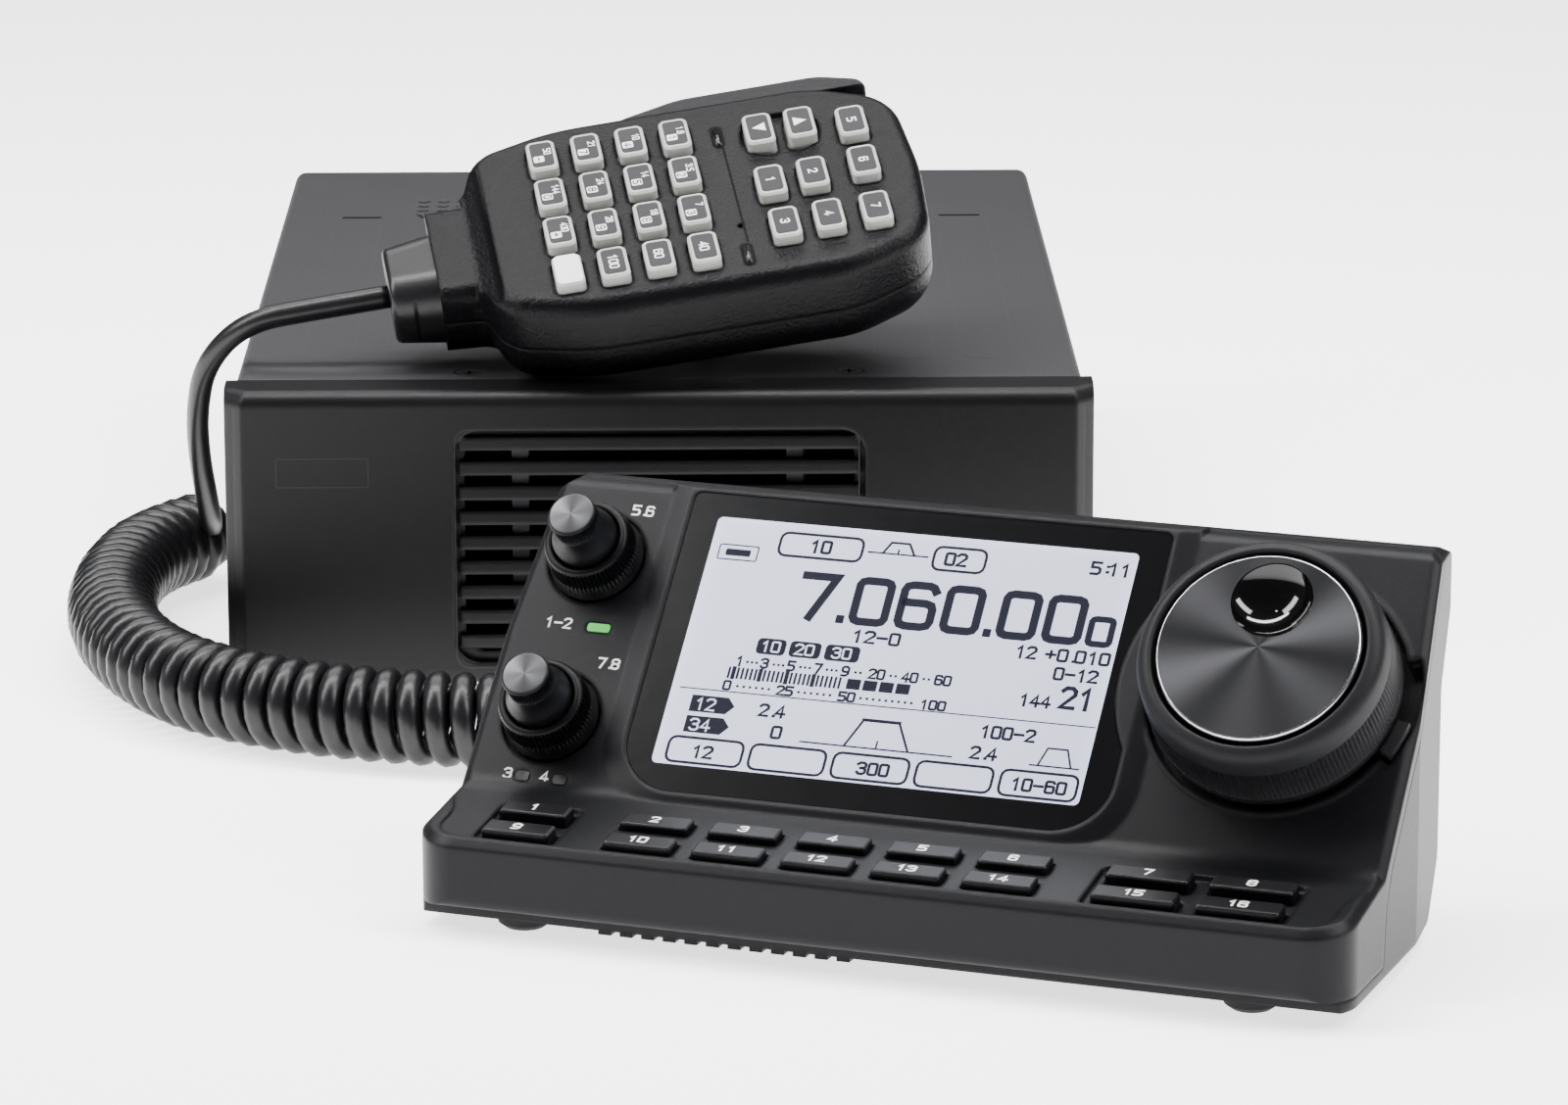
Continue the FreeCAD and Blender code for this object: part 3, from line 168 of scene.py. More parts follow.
def grained(name, colour, rough, grain, depth, spread=0.15, metallic=0.0, coat=0.0, shine=0.25, edge=0.0):
    """Moulded or painted surface: fine bumps of that grain size in metres, mottled tone, softened edges."""
    material = plain(name, colour, rough, metallic)
    shader = material.node_tree.nodes["Principled BSDF"]
    shader.inputs["Coat Weight"].default_value = coat
    shader.inputs["Specular IOR Level"].default_value = shine
    place = add_node(material, "ShaderNodeTexCoord")
    fine = add_node(material, "ShaderNodeTexNoise", Scale=1.0 / grain, Detail=3.0, Roughness=0.55)
    broad = add_node(material, "ShaderNodeTexNoise", Scale=BROAD_SCALE, Detail=2.0)
    bump = add_node(material, "ShaderNodeBump", Strength=depth, Distance=grain * 0.35)
    rough_range = spread_between(material, rough - spread / 2, rough + spread / 2)
    tone = spread_between(material, 0.88, 1.12)
    mix = add_node(material, "ShaderNodeVectorMath", operation="SCALE")
    mix.inputs[0].default_value = colour
    for texture in (fine, broad):
        link(material, place.outputs["Object"], texture.inputs["Vector"])
    if edge:
        soft = add_node(material, "ShaderNodeBevel", Radius=edge)
        soft.samples = BEVEL_SAMPLES
        link(material, soft.outputs["Normal"], bump.inputs["Normal"])
    link(material, fine.outputs["Fac"], bump.inputs["Height"])
    link(material, bump.outputs["Normal"], shader.inputs["Normal"])
    link(material, fine.outputs["Fac"], rough_range.inputs["Value"])
    link(material, rough_range.outputs["Result"], shader.inputs["Roughness"])
    link(material, broad.outputs["Fac"], tone.inputs["Value"])
    link(material, tone.outputs["Result"], mix.inputs["Scale"])
    link(material, mix.outputs["Vector"], shader.inputs["Base Color"])
    return material


def spread_between(material, low, high):
    node = add_node(material, "ShaderNodeMapRange")
    node.inputs["To Min"].default_value = low
    node.inputs["To Max"].default_value = high
    return node


def math_node(material, operation, first, second=None):
    """Math on sockets or numbers; gives the result's socket."""
    node = add_node(material, "ShaderNodeMath", operation=operation)
    for slot, value in enumerate((first, second)):
        if value is None:
            continue
        if isinstance(value, (int, float)):
            node.inputs[slot].default_value = value
        else:
            link(material, value, node.inputs[slot])
    return node.outputs[0]


def local_axes(material, place):
    """Sockets with the coordinates, in metres, in a unit's own frame."""
    coordinates = add_node(material, "ShaderNodeTexCoord")
    mapping = add_node(material, "ShaderNodeMapping")
    mapping.vector_type = "POINT"
    back = place.inverted()
    mapping.inputs["Location"].default_value = back.to_translation()
    mapping.inputs["Rotation"].default_value = back.to_euler()
    link(material, coordinates.outputs["Object"], mapping.inputs["Vector"])
    split = add_node(material, "ShaderNodeSeparateXYZ")
    link(material, mapping.outputs["Vector"], split.inputs["Vector"])
    return coordinates.outputs["Object"], split.outputs


def glow(material, colour, factor, strength):
    """Light of one colour whose strength follows a socket."""
    shader = material.node_tree.nodes["Principled BSDF"]
    shader.inputs["Emission Color"].default_value = (*colour, 1)
    link(material, math_node(material, "MULTIPLY", factor, strength), shader.inputs["Emission Strength"])


LCD_LEFT, LCD_LOW, LCD_WIDE, LCD_TALL = -48.8, -1.2, 77.0, 48.5
DISPLAY = FACE @ moved(LCD_LEFT + LCD_WIDE / 2, LCD_LOW + LCD_TALL / 2, 0)


def lcd_glass(name, colour, place, strength):
    """Lit panel, brighter along its borders, with a faint weave of pixels."""
    material = plain(name, (0.25, 0.25, 0.28), 0.3)
    _, axes = local_axes(material, place)
    half_wide, half_tall = LCD_WIDE / 2 * MM, LCD_TALL / 2 * MM
    across = math_node(material, "ABSOLUTE", math_node(material, "DIVIDE", axes["X"], half_wide))
    along = math_node(material, "ABSOLUTE", math_node(material, "DIVIDE", axes["Y"], half_tall))
    border = math_node(material, "POWER", math_node(material, "MAXIMUM", across, along), 26.0)
    lift = math_node(material, "ADD", math_node(material, "MULTIPLY", border, 0.35), 1.0)
    weave = math_node(material, "MULTIPLY", pixel_grid(material, axes), -0.05)
    glow(material, colour, math_node(material, "ADD", lift, weave), strength)
    return material


def pixel_grid(material, axes, pitch=0.00041):
    """1 on the fine lines between the pixels, 0 inside them."""
    lines = []
    for axis in ("X", "Y"):
        cell = math_node(material, "FRACT", math_node(material, "DIVIDE", axes[axis], pitch))
        lines.append(math_node(material, "LESS_THAN", math_node(material, "ABSOLUTE", cell), 0.18))
    return math_node(material, "MAXIMUM", lines[0], lines[1])


def lcd_ink(name, colour, place, strength):
    """Dark pixels that let a little light through between them."""
    material = plain(name, (0.0, 0.0, 0.0), 0.5)
    material.node_tree.nodes["Principled BSDF"].inputs["Specular IOR Level"].default_value = 0.1
    _, axes = local_axes(material, place)
    leak = math_node(material, "MULTIPLY", pixel_grid(material, axes), 1.1)
    glow(material, colour, math_node(material, "ADD", leak, 1.0), strength)
    return material


def lamp(name, colour, strength):
    """Light pipe: bright in the middle of its grain, dimmer between."""
    material = plain(name, tuple(c * 0.3 for c in colour), 0.3)
    place = add_node(material, "ShaderNodeTexCoord")
    grain = add_node(material, "ShaderNodeTexNoise", Scale=900.0, Detail=1.0)
    link(material, place.outputs["Object"], grain.inputs["Vector"])
    tone = spread_between(material, 0.75, 1.25)
    link(material, grain.outputs["Fac"], tone.inputs["Value"])
    glow(material, colour, tone.outputs["Result"], strength)
    return material


def spun(name, colour, place, rough, painted_lobes=(), floor=1.0):
    """Metal turned on a lathe about the place's Z axis: fine rings, and a painted sheen in opposite sectors, a
    painted highlight that lifts the base colour in lobes by angle.
    """
    material = plain(name, colour, rough, 1.0)
    shader = material.node_tree.nodes["Principled BSDF"]
    shader.inputs["Anisotropic"].default_value = 0.7
    position, axes = local_axes(material, place)
    square = [math_node(material, "MULTIPLY", axes[axis], axes[axis]) for axis in ("X", "Y")]
    radius = math_node(material, "SQRT", math_node(material, "ADD", square[0], square[1]))
    groove = add_node(material, "ShaderNodeTexNoise", Scale=9000.0, Detail=2.0, noise_dimensions="1D")
    link(material, radius, groove.inputs["W"])
    bump = add_node(material, "ShaderNodeBump", Strength=0.25, Distance=0.00003)
    link(material, groove.outputs["Fac"], bump.inputs["Height"])
    link(material, bump.outputs["Normal"], shader.inputs["Normal"])
    angle = math_node(material, "ARCTAN2", axes["Y"], axes["X"])
    # the rings' own tone; the loop below adds the painted highlight lobes to it
    sheen = math_node(material, "MULTIPLY_ADD", groove.outputs["Fac"], 0.25)
    sheen.node.inputs[2].default_value = floor
    # painted highlight: each lobe lifts the base colour in two opposite sectors
    for degrees, power, gain in painted_lobes:
        turn = math_node(material, "COSINE", math_node(material, "SUBTRACT", angle, math.radians(degrees)))
        lobe = math_node(material, "POWER", math_node(material, "ABSOLUTE", turn), power)
        sheen = math_node(material, "ADD", sheen, math_node(material, "MULTIPLY", lobe, gain))
    tint = add_node(material, "ShaderNodeVectorMath", operation="SCALE")
    tint.inputs[0].default_value = colour
    link(material, sheen, tint.inputs["Scale"])
    link(material, tint.outputs["Vector"], shader.inputs["Base Color"])
    tangent = add_node(material, "ShaderNodeVectorMath", operation="CROSS_PRODUCT")
    tangent.inputs[1].default_value = place.to_3x3() @ Vector((0, 0, 1))
    centre = add_node(material, "ShaderNodeVectorMath", operation="SUBTRACT")
    centre.inputs[1].default_value = place.to_translation()
    link(material, position, centre.inputs[0])
    link(material, centre.outputs["Vector"], tangent.inputs[0])
    link(material, tangent.outputs["Vector"], shader.inputs["Tangent"])
    return material


DIAL = FACE @ moved(57.3, 24.0, 0)
# direction in degrees, sharpness, strength of each lobe of painted sheen, a painted highlight in the base colour
DIAL_PAINTED_SHEEN = ((145, 14, 3.4), (27, 16, 4.0), (-90, 8, 1.4))
CAP_PAINTED_SHEEN = ((160, 6, 1.2), (50, 8, 0.9))


def material_set():
    """All finishes by name; the plastics and paints differ in grain and tone."""
    finishes = {}

    def paint(name, *values, **extra):
        finishes[name] = grained(name, *values, **extra)

    paint("cover_black", (0.026, 0.0255, 0.028), 0.5, 0.0005, 0.35, shine=0.24, edge=0.001)
    paint("panel_black", (0.0025, 0.0024, 0.003), 0.42, 0.0004, 0.25, shine=0.18, edge=0.0012)
    paint("cast_alloy", (0.3, 0.3, 0.31), 0.5, 0.0009, 0.4, metallic=0.9)
    paint("circuit_board", (0.02, 0.12, 0.05), 0.45, 0.002, 0.1)
    paint("fan_plastic", (0.015, 0.015, 0.015), 0.45, 0.0005, 0.15)
    paint("speaker_black", (0.02, 0.02, 0.02), 0.6, 0.0008, 0.3)
    paint("nickel", (0.75, 0.73, 0.68), 0.25, 0.0006, 0.08, metallic=1.0)
    paint("socket_plastic", (0.012, 0.012, 0.012), 0.35, 0.0006, 0.1)
    paint("screw_black", (0.03, 0.03, 0.03), 0.35, 0.0003, 0.2, metallic=0.8)
    paint("controller_grey", (0.0045, 0.0045, 0.0055), 0.42, 0.00035, 0.3, shine=0.13, edge=0.0012)
    paint("window_black", (0.002, 0.002, 0.0025), 0.2, 0.003, 0.01, 0.04, shine=0.15)
    finishes["lcd_white"] = lcd_glass("lcd_white", (0.60, 0.65, 0.93), DISPLAY, 1.25)
    finishes["lamp_green"] = lamp("lamp_green", (0.012, 0.62, 0.02), 0.75)
    paint("lamp_dark", (0.006, 0.006, 0.006), 0.15, 0.001, 0.02, shine=0.5)
    paint("foot_rubber", (0.008, 0.008, 0.008), 0.75, 0.0004, 0.4)
    paint("dial_rubber", (0.008, 0.008, 0.009), 0.5, 0.0003, 0.2, shine=0.13)
    # dial face: spun metal whose base colour carries painted highlight sectors
    finishes["spun_metal"] = spun("spun_metal", (0.022, 0.022, 0.0235), DIAL, 0.3, DIAL_PAINTED_SHEEN, 0.22)
    finishes["edge_metal"] = spun("edge_metal", (0.45, 0.45, 0.47), DIAL, 0.2)
    paint("bowl_gloss", (0.002, 0.002, 0.002), 0.08, 0.004, 0.0, 0.02, coat=0.3, shine=0.3)
    paint("lever_grey", (0.01, 0.01, 0.011), 0.4, 0.0003, 0.2)
    paint("knob_black", (0.002, 0.002, 0.0025), 0.4, 0.0003, 0.15, shine=0.12)
    paint("mic_black", (0.0018, 0.0018, 0.0024), 0.36, 0.0007, 0.8, shine=0.11, edge=0.0012)
    paint("mic_ptt_grey", (0.005, 0.005, 0.006), 0.4, 0.0006, 0.5, shine=0.15, edge=0.0008)
    # painted shade: the face's colour made matte and dull, so the groove's strip reads dark
    paint("mic_groove", (0.002, 0.002, 0.002), 0.6, 0.0005, 0.1, shine=0.05)
    paint("key_dark", (0.42, 0.42, 0.40), 0.4, 0.0004, 0.1)
    paint("key_light", (0.42, 0.42, 0.40), 0.4, 0.0004, 0.1)
    paint("key_white", (0.85, 0.85, 0.85), 0.35, 0.0004, 0.1)
    paint("key_inlay", (0.014, 0.014, 0.016), 0.4, 0.0003, 0.15)
    paint("key_cap", (0.005, 0.005, 0.006), 0.34, 0.0003, 0.15, shine=0.18, edge=0.0005)
    paint("cord_rubber", (0.004, 0.004, 0.0048), 0.36, 0.0006, 0.15, shine=0.32)
    paint("plug_clear", (0.08, 0.08, 0.08), 0.2, 0.001, 0.05)
    paint("print_white", (0.8, 0.8, 0.8), 0.5, 0.0004, 0.05)
    finishes["segment_blue"] = lcd_ink("segment_blue", (0.03, 0.032, 0.14), DISPLAY, 0.16)
    # painted highlight: a little lighter than cover_black, for the embossed edges of the top cover
    paint("cover_line", (0.03, 0.03, 0.033), 0.5, 0.0005, 0.35)
    paint("line_grey", (0.012, 0.012, 0.0135), 0.5, 0.0004, 0.2)
    # painted highlight: lighter than the black panel the posts belong to, so they read as lit
    paint("post_grey", (0.06, 0.06, 0.065), 0.5, 0.0005, 0.2)
    # painted shade: near-black matte that stands in for the shade inside slots and openings
    paint("dark_hole", (0.003, 0.003, 0.003), 0.8, 0.0005, 0.1, shine=0.05)
    return finishes


# ---------------------------------------------------------------- mesh helpers

def add_mesh(name, points, faces, material, place=ORIGIN, body="root", smooth=False):
    """Piece from points in millimetres in its unit's frame; it rides on a body."""
    mesh = bpy.data.meshes.new(name)
    mesh.from_pydata([spot(place, *point) for point in points], [], faces)
    mesh.validate()
    mesh.update()
    for polygon in mesh.polygons:
        polygon.use_smooth = smooth
    mesh.materials.append(material)
    piece = bpy.data.objects.new(name, mesh)
    bpy.context.scene.collection.objects.link(piece)
    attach(piece, body)
    return piece


SHARPEST_MITRE = 0.55


class Shape:
    """Points and faces gathered before one mesh is made of them."""

    def __init__(self):
        self.points = []
        self.faces = []

    def plate(self, outline, low, high):
        """Prism over an outline."""
        start, count = len(self.points), len(outline)
        self.points += [(x, y, low) for x, y in outline] + [(x, y, high) for x, y in outline]
        self.faces.append(tuple(range(start + count, start + 2 * count)))
        self.faces.append(tuple(reversed(range(start, start + count))))
        for i in range(count):
            j = (i + 1) % count
            self.faces.append((start + i, start + j, start + count + j, start + count + i))

    def line(self, points, width, low, high):
        """Stroke along points with mitred joints and square ends."""
        closed = points[0] == points[-1]
        corners = [Vector((x, y)) for x, y in (points[:-1] if closed else points)]
        count = len(corners)
        strokes = count if closed else count - 1
        edges = [(corners[(i + 1) % count] - corners[i]).normalized() for i in range(strokes)]
        left, right = [], []
        for i, corner in enumerate(corners):
            before = edges[i - 1] if closed or i > 0 else edges[0]
            after = edges[i] if i < len(edges) else edges[-1]
            normal_before, normal_after = Vector((-before.y, before.x)), Vector((-after.y, after.x))
            mitre = (normal_before + normal_after).normalized()
            reach = mitre * (width / 2 / max(SHARPEST_MITRE, mitre.dot(normal_before)))
            if not closed and i in (0, count - 1):
                corner = corner + after * (width / 2 if i else -width / 2)
            left.append(corner + reach)
            right.append(corner - reach)
        for i in range(len(edges)):
            j = (i + 1) % count
            self.plate([tuple(right[i]), tuple(right[j]), tuple(left[j]), tuple(left[i])], low, high)

    def add(self, name, material, place=ORIGIN, body="root", smooth=False):
        return add_mesh(name, self.points, self.faces, material, place, body, smooth)


def rounded(centre, width, height, radius, steps=5):
    """Points round a rectangle with round corners."""
    points = []
    for quarter, (sx, sy) in enumerate(((1, 1), (-1, 1), (-1, -1), (1, -1))):
        cx, cy = centre[0] + sx * (width / 2 - radius), centre[1] + sy * (height / 2 - radius)
        for i in range(steps + 1):
            angle = math.radians(90 * quarter + 90 * i / steps)
            points.append((cx + radius * math.cos(angle), cy + radius * math.sin(angle)))
    return points


def lathe(profile, segments=96, wave=None):
    """Surface of revolution; wave(angle, height) gives a change in radius."""
    shape = Shape()
    for radius, height in profile:
        for i in range(segments):
            angle = 2 * math.pi * i / segments
            r = radius + (wave(angle, height) if wave else 0)
            shape.points.append((r * math.cos(angle), r * math.sin(angle), height))
    for row in range(len(profile) - 1):
        for i in range(segments):
            j = (i + 1) % segments
            base, above = row * segments, (row + 1) * segments
            shape.faces.append((base + i, base + j, above + j, above + i))
    return shape


# ---------------------------------------------------------------- cord

COIL_PITCH = 4.9
COIL_RADIUS = 6.75
COIL_STEPS = 18
WIRE = 4.5
STRAIGHT_STEP = 0.0015
BOOT_TIP = MIC @ Vector((-0.0625, 0, -0.0150))
BOOT_AHEAD = MIC @ Vector((-0.0775, 0, -0.0150))
PLUG_TAIL = HEAD @ Vector((-0.010, 0.0785, 0.022))
COIL_START = (-92.6, -24.5, 9)
LEAD_ROUTE = [BOOT_TIP / MM, BOOT_AHEAD / MM, (-80.5, -87, 66.6), (-88.8, -83, 57.5), (-91.2, -75.5, 46),
              (-91.6, -65.5, 34.5), (-91.2, -53.5, 23.5), (-91.2, -40, 14.2), COIL_START]
COIL_ROUTE = [COIL_START, (-103, -37, 9), (-108.5, -62, 9), (-108, -92, 9), (-101.5, -120, 9),
              (-88, -145, 9), (-66, -161, 9), (-40, -169.5, 9), (-14, -172.5, 9), (4, -172, 9)]
TAIL_ROUTE = [COIL_ROUTE[-1], (20, -171.5, 9.2), (36, -173.5, 10.2), (49.5, -180.5, 13.2), (58, -192, 17.6),
              (60, -206, 21.2), PLUG_TAIL / MM]


def smooth_line(points, resolution=16):
    """Points along the NURBS spline that has these control points, in metres."""
    curve = bpy.data.curves.new("route", "CURVE")
    curve.dimensions = "3D"
    curve.resolution_u = resolution
    spline = curve.splines.new("NURBS")
    spline.points.add(len(points) - 1)
    for target, point in zip(spline.points, points):
        target.co = (*(Vector(point) * MM), 1)
    spline.order_u = 3
    spline.use_endpoint_u = True
    holder = bpy.data.objects.new("route", curve)
    mesh = bpy.data.meshes.new_from_object(holder)
    line = [vertex.co.copy() for vertex in mesh.vertices]
    bpy.data.objects.remove(holder)
    bpy.data.meshes.remove(mesh)
    return line


def evenly(line, step):
    """Points at equal distances along a line."""
    lengths = [0.0]
    for a, b in zip(line, line[1:]):
        lengths.append(lengths[-1] + (b - a).length)
    count = max(2, round(lengths[-1] / step))
    result, i = [], 0
    for k in range(count + 1):
        wanted = lengths[-1] * k / count
        while i < len(line) - 2 and lengths[i + 1] < wanted:
            i += 1
        share = (wanted - lengths[i]) / max(1e-12, lengths[i + 1] - lengths[i])
        result.append(line[i].lerp(line[i + 1], min(1.0, share)))
    return result


def frames_along(line):
    """Direction and side of a line at each point, carried along without twist."""
    directions = []
    for i in range(len(line)):
        ahead = line[min(i + 1, len(line) - 1)] - line[max(i - 1, 0)]
        directions.append(ahead.normalized())
    side = directions[0].orthogonal().normalized()
    sides = []
    for direction in directions:
        side = (side - direction * side.dot(direction)).normalized()
        sides.append(side.copy())
    return directions, sides


def helix(axis):
    """Wire of the coil: it winds up from the lead, runs round the axis, and winds down to the tail."""
    line = evenly(axis, COIL_PITCH * MM / COIL_STEPS)
    fade = 0.9 * COIL_STEPS
    directions, sides = frames_along(line)
    wire = []
    for i, point in enumerate(line):
        turn = 2 * math.pi * i / COIL_STEPS - math.pi / 2
        start = min(1.0, i / fade)
        end = min(1.0, (len(line) - 1 - i) / fade)
        share = math.sin(min(start, end) * math.pi / 2)
        across = directions[i].cross(sides[i])
        radial = sides[i] * math.cos(turn) + across * math.sin(turn)
        wire.append(point + radial * COIL_RADIUS * MM * share)
    return wire


def cord_path():
    """The wire's middle line from the microphone's boot to the plug."""
    lead = evenly(smooth_line(LEAD_ROUTE), STRAIGHT_STEP)
    coil = helix(smooth_line(COIL_ROUTE))
    tail = evenly(smooth_line(TAIL_ROUTE), STRAIGHT_STEP)
    return lead[:-2] + coil[3:-3] + tail[2:]


def tube(name, line, diameter, material, sides=12):
    """Round wire along a line, closed at both ends."""
    directions, ups = frames_along(line)
    mesh = bpy.data.meshes.new(name)
    points, faces = [], []
    for point, direction, up in zip(line, directions, ups):
        across = direction.cross(up)
        for i in range(sides):
            angle = 2 * math.pi * i / sides
            points.append(point + (up * math.cos(angle) + across * math.sin(angle)) * diameter / 2)
    for row in range(len(line) - 1):
        for i in range(sides):
            j = (i + 1) % sides
            faces.append((row * sides + i, row * sides + j, (row + 1) * sides + j, (row + 1) * sides + i))
    faces.append(tuple(reversed(range(sides))))
    faces.append(tuple(range(len(points) - sides, len(points))))
    mesh.from_pydata(points, [], faces)
    for polygon in mesh.polygons[:-2]:
        polygon.use_smooth = True
    mesh.materials.append(material)
    piece = bpy.data.objects.new(name, mesh)
    bpy.context.scene.collection.objects.link(piece)
    return piece


def add_cord(finishes):
    """One wire for the whole cord; between the boot and the table it leaves along the microphone's axis and curves
    down to the coil.
    """
    line = cord_path()
    wire = tube("curly_cord", line, WIRE * MM, finishes["cord_rubber"])
    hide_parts("cord_lead", "cord_coil", "cord_tail")
    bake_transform(wire)


# ---------------------------------------------------------------- display

GLYPHS = {
    "0": [[(0.8, 0), (3.2, 0), (3.75, 0.25), (4, 0.8), (4, 6.2), (3.75, 6.75), (3.2, 7), (0.8, 7), (0.25, 6.75),
           (0, 6.2), (0, 0.8), (0.25, 0.25), (0.8, 0)]],
    "1": [[(1, 5.4), (2.4, 7), (2.4, 0)]],
    "2": [[(0, 6), (1, 7), (3, 7), (4, 6), (4, 4.6), (0, 0), (4, 0)]],
    "3": [[(0, 6), (1, 7), (3, 7), (4, 6), (4, 4.6), (3, 3.7), (1.6, 3.7)],
          [(3, 3.7), (4, 2.8), (4, 1), (3, 0), (1, 0), (0, 1)]],
    "4": [[(3, 0), (3, 7), (0, 2), (4.2, 2)]],
    "5": [[(4, 7), (0, 7), (0, 4), (3, 4), (4, 3), (4, 1), (3, 0), (0, 0)]],
    "6": [[(3.9, 6.2), (3.6, 6.75), (3.0, 7), (1.0, 7), (0.25, 6.7), (0, 6.0), (0, 0.9), (0.3, 0.25), (1, 0), (3, 0),
           (3.75, 0.3), (4, 1), (4, 3), (3.75, 3.7), (3, 4), (0.5, 4)]],
    "7": [[(0, 7), (4, 7), (1.6, 0)]],
    "8": [[(1, 0), (3, 0), (4, 1), (4, 2.8), (3, 3.7), (1, 3.7), (0, 2.8), (0, 1), (1, 0)],
          [(1, 3.7), (0, 4.6), (0, 6), (1, 7), (3, 7), (4, 6), (4, 4.6), (3, 3.7)]],
    "9": [[(0, 0), (2.6, 0), (4, 1.6), (4, 6), (3, 7), (1, 7), (0, 6), (0, 4), (1, 3), (4, 3)]],
    "+": [[(0, 3.5), (4, 3.5)], [(2, 1.5), (2, 5.5)]],
    "-": [[(0, 3.5), (4, 3.5)]],
    ".": [[(1.6, 0.3), (2.0, 0.3)]],
    ":": [[(1.8, 1.6), (2.2, 1.6)], [(1.8, 5.0), (2.2, 5.0)]],
}


def write(shape, text, x, y, height, stroke, low, high, stretch=1.0, turn=None):
    """Numbers drawn with strokes from their lower left corner; turn maps them onto another direction."""
    unit = height / 7
    for letter in text:
        for stroke_points in GLYPHS[letter]:
            points = [(x + px * unit * stretch, y + py * unit) for px, py in stroke_points]
            if turn:
                points = [turn(*point) for point in points]
            shape.line(points, stroke, low, high)
        x += unit * stretch * (2.6 if letter in ".:" else 5.6)


def frame_line(shape, x, y, width, height, stroke, low, high, corner=1.3, steps=3):
    """Outline of a box with round corners, its outer edges at the given size."""
    inner = (width - stroke, height - stroke)
    points = rounded((x + width / 2, y + height / 2), inner[0], inner[1], corner, steps)
    shape.line(points + points[:1], stroke, low, high)


def lcd_meter(ink, low, high):
    """Signal scale: ticks with numbers above and below, and a bar."""
    marks = (10.7, 15.6, 20.4, 25.3, 30.3)
    x = 9.6
    while x < 30.0:
        wide = min(abs(x - mark) for mark in marks) < 0.4
        ink.line([(x, 17.6), (x, 19.4)], 0.74 if wide else 0.42, low, high)
        x += 0.81
    for i in range(4):
        ink.plate(rounded((32.4 + 2.98 * i, 18.5), 2.5, 2.0, 0.1, 1), low, high)
    for text, x in (("1", 10.4), ("3", 15.0), ("5", 19.9), ("7", 24.8), ("9", 29.8), ("20", 34.7), ("40", 40.7),
                    ("60", 46.7)):
        write(ink, text, x, 20.0, 1.7, 0.44, low, high, 1.15)
    for text, x in (("0", 9.3), ("25", 19.1), ("50", 30.4), ("100", 45.2)):
        write(ink, text, x, 15.2, 1.6, 0.44, low, high, 1.25)
    dots = [(12.4 + 4.87 * j + 0.85 * i, 20.8) for j in range(4) for i in range(3)]
    dots += [(32.2 + 0.9 * i, 20.8) for i in range(2)] + [(38.6 + 0.9 * i, 20.8) for i in range(2)]
    dots += [(44.6 + 0.9 * i, 20.8) for i in range(2)] + [(11.8 + 1.15 * i, 16.0) for i in range(6)]
    dots += [(23.0 + 1.15 * i, 16.0) for i in range(6)] + [(34.3 + 1.15 * i, 16.0) for i in range(9)]
    for x, y in dots:
        ink.plate(rounded((x, y), 0.46, 0.46, 0.05, 1), low, high)


def lcd_boxes(ink, low, high):
    """Outlined and filled fields, and the rule under the scale."""
    for i in range(5):
        frame_line(ink, 2.1 + i * 15.03, 0.35, 14.1, 5.3, 0.5, low, high)
    frame_line(ink, 12.2, 41.8, 15.7, 5.0, 0.5, low, high)
    frame_line(ink, 40.5, 41.7, 9.9, 5.0, 0.5, low, high)
    frame_line(ink, 1.6, 40.2, 7.4, 3.1, 0.24, low, high, 0.2, 1)
    ink.plate(rounded((5.3, 41.75), 4.6, 1.3, 0.2, 1), low, high)
    ink.line([(1.6, 14.8), (76.6, 14.8)], 0.22, low, high)
    for y in (10.4, 6.4):
        ink.plate([(4.2, y), (10.9, y), (12.3, y + 1.6), (10.9, y + 3.2), (4.2, y + 3.2)], low, high)
    for x, wide in ((13.3, 5.3), (19.3, 5.7), (25.8, 6.3)):
        ink.plate(rounded((x + wide / 2, 24.15), wide, 3.1, 0.7, 2), low, high)


def lcd_curves(ink, low, high):
    """Filter shapes: a trapezium on a line."""
    shapes = ((28.8, 39.6, 44.2, (31.5, 32.6, 35.9, 37.1), 46.4, 0.42),
              (25.6, 52.9, 6.7, (33.6, 35.9, 42.4, 45.0), 11.9, 0.42),
              (66.9, 75.5, 6.7, (68.3, 69.4, 72.9, 74.1), 10.1, 0.34))
    for start, end, foot, xs, top, stroke in shapes:
        ink.line([(start, foot), (end, foot)], 0.3, low, high)
        ink.line([(xs[0], foot + 0.15), (xs[1], top), (xs[2], top), (xs[3], foot + 0.15)], stroke, low, high)
    ink.line([(35.9, 12.0), (42.4, 12.0)], 0.6, low + 0.002, high + 0.002)
    ink.line([(39.3, 6.9), (39.3, 8.1)], 0.34, low, high)
    ink.line([(34.2, 44.3), (34.2, 45.0)], 0.34, low, high)


